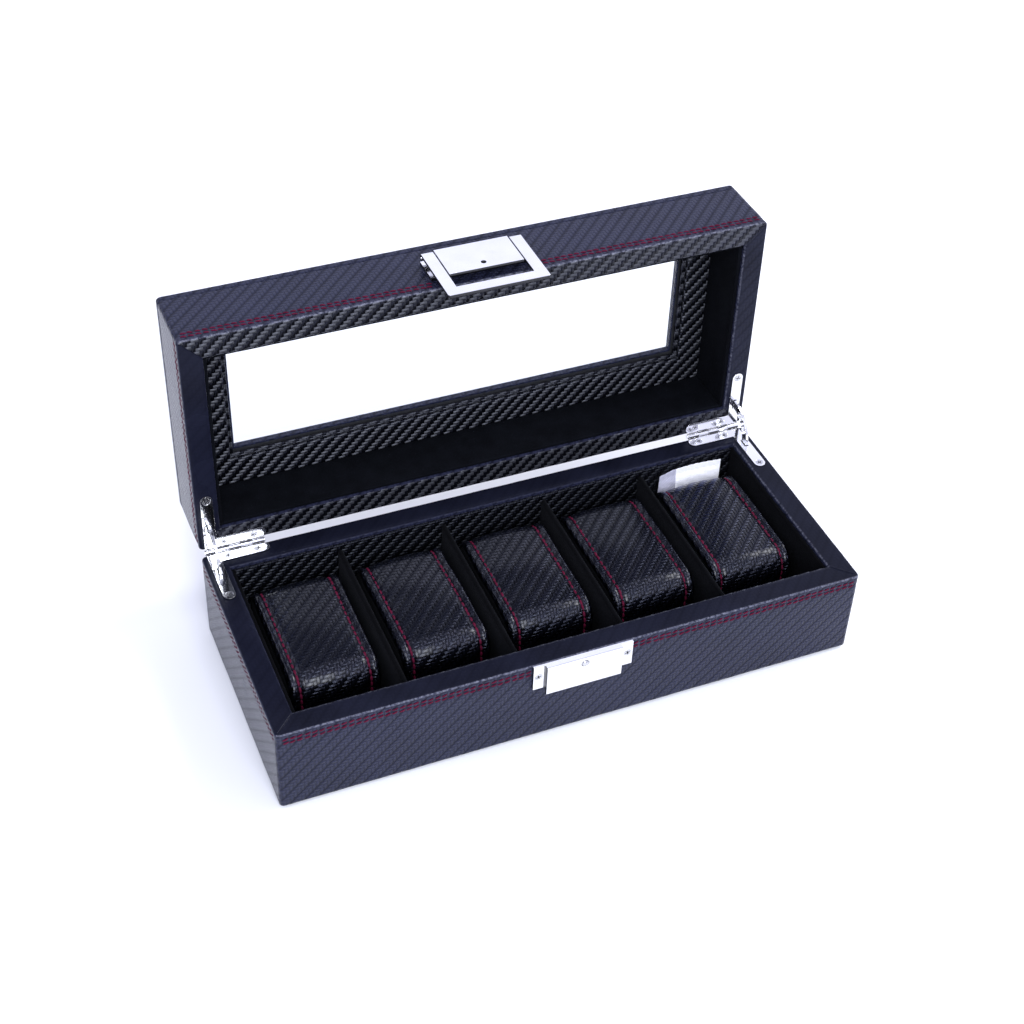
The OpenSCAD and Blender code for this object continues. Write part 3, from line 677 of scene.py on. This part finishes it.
felt_finish = pile_fabric("black_felt", (0.012, 0.012, 0.014), fibre=700, sheen=0.1)
velvet_finish = pile_fabric("black_velvet", VELVET, sheen=0.02)
sheet_like("base_bottom_felt", 2, felt_finish, "felt", 31)
sheet_like("floor_pad", 2, velvet_finish, "velvet", 32)

# ---- Lining and dividers ----
# Thin cards line the walls: leather-wrapped at the front and back, velvet-wrapped at the ends.
# Four velvet-wrapped dividers stand in grooves and part the compartments.

DIVIDERS = ["divider_1", "divider_2", "divider_3", "divider_4"]
BLACK = (0.002, 0.0022, 0.0034)
lining_leather = twill_leather("lining_twill_leather", BLACK, 0.55 * mm, 0.2, 0.1,
                               lustre=(0.028, 0.03, 0.036), broad=0.15, ior=1.3)
divider_velvet = pile_fabric("divider_velvet", VELVET, sheen=0.03)
for seed, node in enumerate(("liner_front", "liner_rear"), 41):
    sheet_like(node, 1, lining_leather, "leather_navy", seed, spans=(10, 60))
for seed, node in enumerate(("liner_left", "liner_right"), 43):
    sheet_like(node, 0, velvet_finish, "velvet", seed)
for seed, node in enumerate(DIVIDERS, 45):
    sheet_like(node, 0, divider_velvet, "velvet", seed, edge=1.15 * mm)

# ---- Pillows ----
# Foam wrapped in glossy twill leather: a band goes round the top, ends and bottom, closed by soft
# side panels, and two rows of crimson stitches run round it just in from its edges.

PILLOWS = ["pillow_1", "pillow_2", "pillow_3", "pillow_4", "pillow_5"]
PILLOW_R = 9.5 * mm
PILLOW_STEPS = 200
PILLOW_ROLL = 2.2 * mm
PILLOW_PITCH = 3.3 * mm
PILLOW_SWINGS = (-0.5, 0.6, -0.3, 0.4, -0.6)
PILLOW_SWELL = (0.35 * mm, 26 * mm)
CROWN = 0.9 * mm
SINK = 0.3 * mm
SEAM_DIP = 0.75 * mm
EDGE_LIP = 0.35 * mm
PUCKER = 0.14 * mm
SIDE_BULGE = 0.9 * mm
SIDE_DRAW = 0.25 * mm
SEAM_IN = 4.6 * mm
PAST_SEAM = np.array([0.35, 0.8, 1.4, 2.0, 2.6, 3.2, 3.7, 4.1, 4.4, 4.6]) * mm
PANEL_SHARES = (0.05, 0.12, 0.25, 0.45, 0.7, 1.0)  # of the way from the band's edge to the spine
PANEL_ROWS = len(PANEL_SHARES)
pillow_leather = twill_leather("pillow_twill_leather", (0.002, 0.0023, 0.004), 0.38 * mm, 0.14, 1.0,
                               lustre=(0.02, 0.0215, 0.03), broad=0.08, ior=1.3)


def band_path(half_a, half_b, radius, count):
    """Points evenly spaced round a rectangle with round corners, their outward normals and distances.

    It starts in the middle of the underside and goes towards +a, then up. Each of four stretches is
    a side and the corner at its end.
    """
    sides = np.array([half_a - radius, half_b - radius] * 2) * 2
    bend = math.pi / 2 * radius
    total = sides.sum() + 4 * bend
    s = (np.arange(count) + 0.5) / count * total
    along = (s + sides[0] / 2) % total
    side_ends = np.cumsum(sides + bend) - bend
    stretch = np.searchsorted(side_ends + bend, along)
    past = along - side_ends[stretch]
    heading = stretch * math.pi / 2
    lean = heading - math.pi / 2 + np.maximum(past, 0) / radius
    way, normal = (np.stack([np.cos(a), np.sin(a)], axis=1) for a in (heading, lean))
    centres = np.array([(1, -1), (1, 1), (-1, 1), (-1, -1)]) * (half_a - radius, half_b - radius)
    return centres[stretch] + way * np.minimum(past, 0)[:, None] + normal * radius, normal, s, total


def pillow(node, number):
    """A crowned cushion: its band's section swells between the two stitched lines, dips along them,
    and rolls over into side panels that close on a short spine."""
    middle, half = halves(*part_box(node))
    path, out, s, total = band_path(half[1], half[2], PILLOW_R, PILLOW_STEPS)
    side = half[0]
    seam = side - SEAM_IN
    across = np.concatenate([np.linspace(-seam, seam, 27), seam + PAST_SEAM])
    across = np.unique(np.concatenate([across, -across]).round(7))
    reach = np.abs(across)
    dip = SEAM_DIP * bell(reach - seam, SEAM_DIP)
    crown = CROWN * (1 - np.clip(reach / seam, 0, 1) ** 2) - SINK
    lip = EDGE_LIP * np.sin(np.clip((reach - seam) / (side - seam), 0, 1) * math.pi)
    past = np.clip(reach - (side - PILLOW_ROLL), 0, PILLOW_ROLL)
    shoulder = PILLOW_ROLL - np.sqrt(np.maximum(PILLOW_ROLL ** 2 - past ** 2, 0))
    inset = dip - crown - lip + shoulder
    pucker = 0.5 + 0.5 * np.cos(2 * np.pi * s / PILLOW_PITCH)
    near_seam = bell(reach - seam, 1.3 * mm)
    inset = inset[:, None] + PUCKER * near_seam[:, None] * pucker[None, :]
    band = np.empty((len(across), PILLOW_STEPS, 3))
    band[:, :, 0] = across[:, None]
    band[:, :, 1] = path[None, :, 0] - out[None, :, 0] * inset
    band[:, :, 2] = path[None, :, 1] - out[None, :, 1] * inset
    spine = np.stack([np.clip(path[:, 0], -(half[1] - half[2]), half[1] - half[2]),
                      np.zeros(PILLOW_STEPS)], axis=1)
    panels = []
    for edge, way in ((band[0], -1), (band[-1], 1)):
        panel = []
        for share in PANEL_SHARES:
            ring = edge.copy()
            ring[:, 1:] = edge[:, 1:] * (1 - share) + spine * share
            ring[:, 0] += way * (SIDE_BULGE * math.sin(math.pi / 2 * min(share * 1.4, 1)) - SIDE_DRAW)
            panel.append(ring)
        panels.append(np.array(panel))
    grid = np.concatenate([panels[0][::-1], band, panels[1]])
    swell = ripple(grid + number, *PILLOW_SWELL, 60 + number)
    grid = grid + outward_normals(grid, False) * swell[:, :, None]
    grid[:, :, 2] = np.maximum(grid[:, :, 2], -half[2])
    faces = web(*grid.shape[:2])
    rows_of_faces = np.repeat(np.arange(grid.shape[0] - 1), PILLOW_STEPS)
    on_panel = (rows_of_faces < PANEL_ROWS) | (rows_of_faces >= grid.shape[0] - 1 - PANEL_ROWS)
    u = grid[:, :, 0].ravel()[faces]
    column = faces % PILLOW_STEPS
    v = s[column]
    v = v - total * np.rint((v - v[:, :1]) / total)
    pattern = np.stack([u, -v + number * 0.37 * mm], axis=2)
    swing = math.radians(PILLOW_SWINGS[number - 1])
    cos, sin = math.cos(swing), math.sin(swing)
    turn = np.array([(cos, sin, 0), (-sin, cos, 0), (0, 0, 1)])
    piece = made(node + "_cushion", grid.reshape(-1, 3) @ turn + middle, faces,
                 [pillow_leather, velvet_finish], node + "_body", "pillow_leather", pattern,
                 kinds=on_panel.astype(int), weld=True, sharp=60, replaces=[node])
    marked(piece, "embossed", 1.0)

    lot = np.random.default_rng(80 + number)
    count = round(total / PILLOW_PITCH)
    wanted = (np.arange(count) + 0.5) * total / count
    column = np.rint(wanted / total * PILLOW_STEPS - 0.5).astype(int) % PILLOW_STEPS
    rows = []
    for way in (-1, 1):
        row = PANEL_ROWS + int(np.abs(across - way * seam).argmin())
        spot = grid[row, column]
        spot[:, 0] += lot.normal(0, 0.09 * mm, count) + 0.25 * mm * np.sin(wanted / (23 * mm) + number)
        ahead = grid[row, (column + 1) % PILLOW_STEPS] - grid[row, column - 1]
        ahead /= np.linalg.norm(ahead, axis=1, keepdims=True)
        up = np.concatenate([np.zeros((count, 1)), out[column]], axis=1)
        rows.append((spot, ahead, up))
    spots, aheads, ups = (np.concatenate(part) for part in zip(*rows))
    stitches(node + "_stitching", spots @ turn + middle, aheads @ turn, ups @ turn, PILLOW_PITCH,
             node + "_body", "pillow_leather", flat=2.0)


for number, node in enumerate(PILLOWS, 1):
    pillow(node, number)

# ---- Drying-agent sachet ----
# A small bag of white fibre paper, heat-sealed along its top and bottom and filled with loose
# beads. It stands on edge behind the last pillow, with its left side, a sealed strip, bent forward.

SEAL_H = 3.6 * mm
SEAL_GRID = 0.9 * mm
SACHET_GRID = (61, 71)
PAPER_GAP = 0.12 * mm
BEAD_LUMPS = (0.2 * mm, 3.2 * mm)
SEAL_RIBS = (0.1 * mm, 0.5 * mm)
SEAL_BEND = 3.4 * mm


def white_paper(fold):
    """Soft fibre paper: faint long fibres, and left of the fold a strip pressed with a fine grid and painted
    greyer as shade.
    """
    finish = Finish("white_fibre_paper")
    fibres = finish.noise(700, 5, 0.75, stretch=(1, 1, 2.5))
    along, _, up = finish.axes(finish.place())
    seal_and_shade = along < fold
    grid = (along * (2 * math.pi / SEAL_GRID)).sine() * (up * (2 * math.pi / SEAL_GRID)).sine() * seal_and_shade
    white = finish.shades(fibres, [(0.3, (0.8, 0.8, 0.87)), (0.65, (0.92, 0.92, 0.94))])
    # Painted shade: left of the fold, where the bag is bent forward, the paper is made greyer and bluer.
    colour = finish.mixed(seal_and_shade, white, (0.5, 0.5, 0.62))
    # Painted light: a faint emission makes the bag glow a little brighter than the lamps alone light it.
    return finish.surface(Base_Color=colour, Roughness=0.7, Normal=finish.relief(fibres + grid, 0.0002),
                          Emission_Color=(0.93, 0.93, 1.0), Emission_Strength=0.06,
                          Subsurface_Weight=0.15, Subsurface_Radius=(0.002, 0.002, 0.002))


def sachet():
    """Two sheets on one grid: their gap is a flattened dome inside the seals, with shallow lumps for
    the beads, and fine ribs pressed into the seals."""
    middle, half = halves(*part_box("desiccant_sachet"))
    x, z = np.meshgrid(np.linspace(-1, 1, SACHET_GRID[0]), np.linspace(-1, 1, SACHET_GRID[1]))
    inner = 1 - SEAL_H / half[2]
    dome = np.clip(1 - np.abs(x) ** 6, 0, 1) ** 0.6 * np.clip(1 - np.abs(z / inner) ** 4, 0, 1) ** 0.6
    sag = 1 - 0.35 * (z + 1) / 2
    place = np.stack([x * half[0], z * 0, z * half[2]], axis=2)
    beads = ripple(place, *BEAD_LUMPS, 91) * dome
    gap = PAPER_GAP + (half[1] - 0.35 * mm) * dome * sag
    ribs = SEAL_RIBS[0] * np.sin(x * half[0] / SEAL_RIBS[1]) * (np.abs(z) > inner)
    bent = np.clip(-x - 0.55, 0, 1) * -SEAL_BEND + 0.5 * mm * np.cos(x * 2.0)
    sheets = []
    for way in (-1, 1):
        across = way * (gap + np.maximum(beads, -gap * 0.6)) + ribs + bent * (0.5 + 0.25 * (z + 1))
        droop = 0.3 * mm * (np.sin(x * 2.2 + 0.9) - 1) * (z + 1) / 2
        grid = np.stack([x * half[0] * (1 - 0.012 * dome), across, z * half[2] + droop], axis=2)
        sheets.append(grid if way < 0 else grid[:, ::-1])
    loop = np.concatenate(sheets, axis=1)
    faces = web(*loop.shape[:2]).tolist()
    columns = loop.shape[1]
    last = (loop.shape[0] - 1) * columns
    for k in range(SACHET_GRID[0] - 1):
        faces.append([k + 1, k, columns - 1 - k, columns - 2 - k])
        faces.append([last + k, last + k + 1, last + columns - 2 - k, last + columns - 1 - k])
    piece = made("sachet_bag", loop.reshape(-1, 3) + middle, np.array(faces),
                 white_paper(middle[0] - 0.42 * half[0]), "base", "sachet",
                 weld=True, sharp=50, replaces=["desiccant_sachet"])


sachet()

# ---- Strike plate, screws, button and spring ----
# Pressed steel sheet with bright nickel plating: a flat flange with a raised middle, held on the
# front wall by two cross-head screws. A domed button stands out of it on a small coil spring.

SCREW_EDGES = [(0.05 * mm, 1, None)]


def nickel(name, shade=(0.9, 0.9, 0.91), rough=0.06):
    """Bright plating: almost a mirror, with faint rolling marks, hazy patches and tiny scratches."""
    finish = Finish(name)
    rolled = finish.noise(3000, 2, stretch=(0.15, 1, 1))
    haze = finish.noise(120, 3)
    scratches = finish.noise(1400, 2, 0.8, stretch=(1, 0.05, 0.3))
    dull, bright = tuple(c * 0.93 for c in shade), shade
    colour = finish.shades(haze, [(0.3, dull), (0.7, bright)])
    return finish.surface(Base_Color=colour, Metallic=1.0, Roughness=rough + 0.07 * haze,
                          Normal=finish.relief(rolled * 0.6 + scratches * 0.4, 0.000012))


def softened(node, steps, finish, sharp=42, dark=None):
    """A copy of a CAD node with its loose triangles joined and its edges rounded.

    Each step is (radius, segments, choice), where choice takes an edge's ends and says whether it
    is rounded now; a step with no choice rounds every remaining edge sharper than 40 degrees.
    dark picks the faces that get the dark finish, painted shade: faces seen side on, cut edges, or what lies
    down in a recess.
    """
    mesh = frame["nodes"][node].data.copy()
    mesh.name = node + "_smooth"
    shell = bmesh.new()
    shell.from_mesh(mesh)
    bmesh.ops.remove_doubles(shell, verts=shell.verts, dist=2e-6)
    bmesh.ops.dissolve_limit(shell, angle_limit=math.radians(0.6), verts=shell.verts, edges=shell.edges)
    for radius, segments, choice in steps:
        edges = [e for e in shell.edges if e.is_manifold and e.calc_face_angle(0) > math.radians(40)
                 and (choice is None or choice(e.verts[0].co, e.verts[1].co))]
        bmesh.ops.bevel(shell, geom=edges, offset=radius, segments=segments, profile=0.5,
                        affect="EDGES", clamp_overlap=True, offset_type="OFFSET")
    shell.to_mesh(mesh)
    shell.free()
    mesh.shade_smooth()
    mesh.set_sharp_from_angle(angle=math.radians(sharp))
    mesh.materials.clear()
    mesh.materials.append(finish)
    if dark:
        mesh.materials.append(painted_shade_finish)
        for face in mesh.polygons:
            face.material_index = int(dark(face))
    piece = placed_object(mesh.name, mesh)
    flats = piece.modifiers.new("flats", "WEIGHTED_NORMAL")
    flats.keep_sharp = True
    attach(piece, frame["nodes"][node]["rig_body"])
    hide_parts(node)


plate_finish = nickel("bright_nickel")
# Painted shade: a near-black nickel for the fittings' faces seen side on, cut edges and recesses.
painted_shade_finish = nickel("shade_nickel", (0.05, 0.05, 0.055), 0.3)
screw_finish = nickel("screw_nickel", (0.6, 0.6, 0.62), 0.14)
strike_low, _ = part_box("strike_plate")


def side_on(axis):
    """Picks the faces that do not look along an axis."""
    return lambda face: abs(face.normal[axis]) < 0.45


def recessed(node, axis, way):
    """Picks what lies more than 0.15 mm behind a node's outermost face, which looks way along an axis."""
    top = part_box(node)[1 if way > 0 else 0][axis]
    return lambda face: (top - face.center[axis]) * way > 0.15 * mm


def looking_sideways(face):
    """Picks the faces that look left or right."""
    return abs(face.normal.x) > 0.6


def on_pressed_face(one, two):
    """An edge along the front of the pressed-up middle."""
    return max(one.y, two.y) < strike_low.y + 0.05 * mm


softened("strike_plate", [(0.3 * mm, 3, on_pressed_face), (0.12 * mm, 2, None)], plate_finish,
         dark=looking_sideways)
softened("strike_screws", SCREW_EDGES, screw_finish, dark=recessed("strike_screws", 1, -1))
softened("catch_button", [(0.08 * mm, 2, None)], screw_finish, dark=side_on(1))
given("catch_spring", screw_finish)

# ---- Corner hinges and stays ----
# Each hinge has two L-shaped leaves of plated steel, one screwed to either rim, rolled round a
# pin at the back. A curved stay slides through slots in both and holds the lid open.

for level, across in (("lower", 2), ("upper", 1)):
    for side in ("left", "right"):
        softened(f"hinge_{side}_{level}_leaf", [(0.16 * mm, 2, None)], plate_finish, dark=side_on(across))
for node in ("stay_left", "stay_right"):
    softened(node, [(0.2 * mm, 2, None)], plate_finish)
softened("hinge_pins", [(0.12 * mm, 2, None)], plate_finish)
softened("hinge_lower_screws", SCREW_EDGES, screw_finish, dark=recessed("hinge_lower_screws", 2, 1))
softened("hinge_upper_screws", SCREW_EDGES, screw_finish, dark=side_on(1))

# ---- Lid covering ----
# The same leather goes over the lid's four walls and round their rim. The lid stands open on its
# stays, so its pieces are worked out for the shut lid and then turned about the hinge line.

hinge = next(joint for joint in frame["joints"] if joint["name"] == "lid_hinge")
HINGE_LINE = np.array(hinge["pos_m"])
OPEN = math.radians(-hinge["range_deg"][0])


def turned(points, angle):
    """Points turned by an angle about the hinge line, which runs along x."""
    c, s = math.cos(angle), math.sin(angle)
    return (points - HINGE_LINE) @ np.array([(1, 0, 0), (0, c, s), (0, -s, c)]) + HINGE_LINE


def opened(points):
    """Where points on the shut lid are when it stands open."""
    return turned(points, -OPEN)


def shut_box(node):
    """A lid node's lowest and highest corners with the lid shut."""
    data = frame["nodes"][node].data
    points = np.empty(len(data.vertices) * 3)
    data.vertices.foreach_get("co", points)
    points = turned(points.reshape(-1, 3), OPEN)
    return points.min(axis=0), points.max(axis=0)


frame_leather = twill_leather("frame_twill_leather", BLACK, 0.55 * mm, 0.2, 0.1,
                              lustre=(0.085, 0.088, 0.1), broad=0.25, ior=1.3)
lid_low, lid_high = shut_box("lid_leather_cover")
TOP_ROUND = 0.8 * mm
lid_section = [(LEATHER_T, lid_high[2]), (TOP_ROUND, lid_high[2])]
lid_section += [(d, lid_high[2] - u) for d, u in quarter(TOP_ROUND, 4)]
lid_section = cover_rows(lid_high[2], lid_low[2], lid_section, TOP_ROUND)
wall_cover("lid_cover", lid_section, lid_low[2], [outer_leather, frame_leather], "lid",
           "lid_leather_cover", 12, (0.8, 0.3, 0.6, 0.1), opened)
middles, along, normals = round_the_walls([lid_low[2] + d for d in STITCH_ROWS], -14, 22 * mm, 22)
stitches("lid_stitching", opened(middles), opened(along + HINGE_LINE) - HINGE_LINE,
         opened(normals + HINGE_LINE) - HINGE_LINE, STITCH_PITCH, "lid")

# ---- Top panel's leather ----
# One sheet of leather is glued over the panel, round its outer edges and down the edges of the
# window, which is cut out of it.

panel_low, panel_high = shut_box("lid_panel_leather")
bead_low, bead_high = shut_box("lid_window_bead")
WINDOW = (107.5 * mm, 28.0 * mm)
WINDOW_CORNER = 0.5 * mm
PANEL_ROUND = 0.9 * mm


def panel_leather():
    """A closed loop of rings: up the outer edge, over the top, down the window's edge, and back
    underneath, a leather's thickness further in."""
    z0, z1 = panel_low[2], panel_high[2]
    outer = [(d, z0 + 0.6 * u) for d, u in quarter(TOP_ROUND, 3)]
    outer += [(d, z1 - u) for d, u in quarter(PANEL_ROUND, 5, onto=True)]
    inner = [(-d, z1 - u) for d, u in quarter(PANEL_ROUND, 4)]
    inner += [(0, z0), (-LEATHER_T, z0), (-LEATHER_T, z1 - LEATHER_T)]
    outer, inner = ring_rows(half_x, half_y, outer, CORNER_R), ring_rows(*WINDOW, inner, WINDOW_CORNER)
    rows = outer + list(np.linspace(outer[-1], inner[0], 14)[1:-1]) + inner
    rows += ring_rows(half_x, half_y, [(LEATHER_T, z1 - LEATHER_T), (LEATHER_T, z0)], CORNER_R - LEATHER_T)
    grid, _, _ = rings(rows)
    on_top = np.array([z for *_, z in rows])[:, None, None] > z1 - 0.2 * mm
    grid = grid + outward_normals(grid) * ripple(grid, 0.08 * mm, 20 * mm, 13)[:, :, None] * on_top
    ringed("lid_panel_cover", grid, outer_leather, "lid", "leather_navy", "lid_panel_leather", turn=opened)


panel_leather()

# ---- Window: inner frame, bead and glass ----
# A leather-wrapped frame is glued to the panel's underside and holds the glass against it. A thin
# double bead closes the gap round the glass.

frame_low, frame_high = shut_box("lid_window_frame")
glass_low, glass_high = shut_box("lid_glass")
FRAME_ROUND = 0.9 * mm
FRAME_CORNER = 0.4 * mm
BEAD_R = 0.42 * mm


def window_frame():
    """A closed loop of rings: across the face towards the window, over a raised lip, up to the glass
    ledge, and back along the panel."""
    out, hole, pane = frame_high[:2], bead_high[:2], glass_high[:2]
    face, back, ledge = frame_low[2], frame_high[2], glass_low[2]
    outer = [(0, back), (0, face + 0.3 * mm), (0.3 * mm, face)]
    lip = ring_rows(*hole, [(-d, face + u) for d, u in quarter(FRAME_ROUND, 4)], FRAME_CORNER)
    rows = ring_rows(*out, outer, FRAME_CORNER)
    rows += list(np.linspace((*out, FRAME_CORNER, face), lip[0], 10)[1:]) + lip[1:]
    rows += ring_rows(*hole, [(0, ledge)], FRAME_CORNER)
    rows += ring_rows(*pane, [(0, ledge), (0, back)], FRAME_CORNER)
    ringed("window_frame_cover", rings(rows)[0][::-1], frame_leather, "lid", "leather_navy",
           "lid_window_frame", turn=opened)


def bead():
    """Two round ridges side by side, carried round the inside of the frame."""
    face = bead_low[2] + 0.1 * mm
    profile = [(0, glass_low[2])]
    for ridge in (1, 3):
        profile += [(BEAD_R * (ridge - math.cos(a)), face + BEAD_R * (1 - math.sin(a)))
                    for a in arc(0, 180, 5)]
    profile.append((BEAD_R * 4, glass_low[2]))
    ringed("window_bead", rings(ring_rows(*bead_high[:2], profile, FRAME_CORNER))[0][::-1], frame_leather,
           "lid", "leather_navy", "lid_window_bead", embossed=0.8, turn=opened)


def clear_glass():
    """Thin clear glass: seen straight through, with a mirror film that grows at glancing angles."""
    finish = Finish("window_glass")
    glancing = Value(finish, finish.node("ShaderNodeLayerWeight", None, {"Blend": 0.5}).outputs["Facing"])
    smears = finish.noise(40, 3)
    clear = finish.node("ShaderNodeBsdfTransparent", None, {"Color": (0.985, 0.995, 0.995, 1)})
    mirror = finish.node("ShaderNodeBsdfPrincipled", None,
                         {"Base Color": (0.9, 0.93, 0.94, 1), "Metallic": 1.0, "Roughness": smears * 0.05})
    mixed = finish.node("ShaderNodeMixShader", None,
                        {0: glancing ** 3 * 0.3 + 0.003, 1: clear.outputs[0], 2: mirror.outputs[0]})
    finish.node("ShaderNodeOutputMaterial", None, {"Surface": mixed.outputs[0]})
    return finish.material


window_frame()
bead()
given("lid_glass", clear_glass())

# ---- Lid lining ----
# Four cards wrapped in black suede line the lid's inner walls. They stop a little short of the rim,
# where the leather that is turned down over it still shows.

suede_finish = pile_fabric("black_suede", (0.0026, 0.003, 0.0043), fibre=1100, sheen=0.006)
for seed, (node, thin) in enumerate([("lid_liner_front", 1), ("lid_liner_rear", 1),
                                     ("lid_liner_left", 0), ("lid_liner_right", 0)], 51):
    sheet_piece(node, *shut_box(node), thin, suede_finish, "lid", "velvet", seed, turn=opened,
                spans=(16, 50) if thin == 1 else (40, 16))

# ---- Latch ----
# A pressed plate with a raised middle is screwed to the lid's front wall. A U-shaped bail turns on
# a pin through its upper edge and drops over the strike plate's button.

bail_low, bail_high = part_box("latch_bail")


def bail_corner(one, two):
    """An edge through the thickness at the two outer corners of the bail's bar."""
    near_end = min(abs(one.x), abs(two.x)) > bail_high.x - 0.05 * mm
    return near_end and abs(one.x - two.x) < 1e-5 and max(one.y, two.y) < bail_low.y + 0.6 * mm


def off_the_hole(one, two):
    """Any edge but those of the round hole in the middle of the plate."""
    return max(abs(one.x), abs(two.x)) > 1.5 * mm


softened("latch_bail", [(1.1 * mm, 5, bail_corner), (0.2 * mm, 2, None)], plate_finish, dark=side_on(2))
softened("latch_plate", [(0.2 * mm, 3, off_the_hole)], plate_finish, dark=side_on(2))
softened("latch_pin", [(0.1 * mm, 2, None)], plate_finish)
softened("latch_screws", SCREW_EDGES, screw_finish, dark=recessed("latch_screws", 2, 1))

# ---- Studio ----
# A white floor under soft light from all round, with a large lamp above to the right, so that a
# faint cool shadow falls to the left, and a tall narrow one in front for the glints.

FLOOR_SIDES = 96
FLOOR_RINGS = (0.1, 0.5, 2.0, 8.0)
FLOOR_GAP = 0.2 * mm
SKY = [(0.12, (0.5, 0.51, 0.64)), (0.45, (0.78, 0.8, 1.0)), (0.74, (0.78, 0.8, 1.0)),
       (0.93, (0.3, 0.31, 0.4))]


def floor_finish():
    """Matt white floor with the faintest unevenness."""
    finish = Finish("white_floor")
    clouds = finish.noise(3, 2)
    white = finish.shades(clouds, [(0.3, (0.85, 0.853, 0.857)), (0.7, (0.87, 0.873, 0.876))])
    return finish.surface(Base_Color=white, Roughness=0.9)


def floor():
    """A flat round disc, drawn as rings about the middle and closed there."""
    turn = np.linspace(0, 2 * np.pi, FLOOR_SIDES + 1)[:-1]
    reach = np.array(FLOOR_RINGS)[:, None]
    grid = np.stack([reach * np.cos(turn), reach * np.sin(turn), 0 * reach * turn - FLOOR_GAP], axis=2)
    faces = web(len(FLOOR_RINGS), FLOOR_SIDES)[:, ::-1].tolist() + [list(range(FLOOR_SIDES))]
    mesh = bpy.data.meshes.new("floor")
    mesh.from_pydata(grid.reshape(-1, 3).tolist(), [], faces)
    mesh.materials.append(floor_finish())
    placed_object("floor", mesh)


def lamp(name, place, aim, width, height, power, colour):
    """A soft rectangular lamp at a place, turned to face a point."""
    light = bpy.data.lights.new(name, "AREA")
    light.shape = "RECTANGLE"
    light.size = width
    light.size_y = height
    light.energy = power
    light.color = colour
    piece = placed_object(name, light)
    piece.location = place
    way = np.array(aim, float) - np.array(place, float)
    piece.rotation_euler = (math.atan2(math.hypot(way[0], way[1]), -way[2]), 0,
                            math.atan2(-way[0], way[1]))


class Sky(Finish):
    """The glow all round, in the making."""

    def __init__(self, name):
        self.world = bpy.data.worlds.new(name)
        self.world.use_nodes = True
        self.tree = self.world.node_tree
        self.tree.nodes.clear()

    def glow(self, strength, stops):
        """Closes the sky with colours laid from the horizon, 0, to overhead, 1."""
        height = self.axes(self.node("ShaderNodeTexCoord").outputs["Generated"])[2]
        light = self.node("ShaderNodeBackground", None,
                          {"Color": self.shades(height, stops), "Strength": strength})
        self.node("ShaderNodeOutputWorld", None, {"Surface": light.outputs[0]})
        return self.world


floor()
bpy.context.scene.world = Sky("studio").glow(1.38, SKY)
lamp("right_lamp", (1.3, 0.1, 1.5), (0, 0, 0.05), 0.9, 0.9, 23, (0.98, 0.985, 1.0))
lamp("front_lamp", (-0.2, -1.1, 0.95), (0, 0, 0.08), 0.6, 1.2, 20, (0.9, 0.94, 1.0))
bpy.context.scene.view_settings.view_transform = "Standard"

camera = bpy.data.cameras.new("camera")
camera.lens = 64.11
camera.sensor_width = 36
view = placed_object("camera", camera)
view.location = (-0.24668, -0.53263, 0.59262)
turns = [Matrix.Rotation(math.radians(angle), 3, axis)
         for angle, axis in ((-23.91, "Z"), (48.64, "X"), (2.44, "Z"))]
view.rotation_euler = (turns[0] @ turns[1] @ turns[2]).to_euler()
bpy.context.scene.camera = view
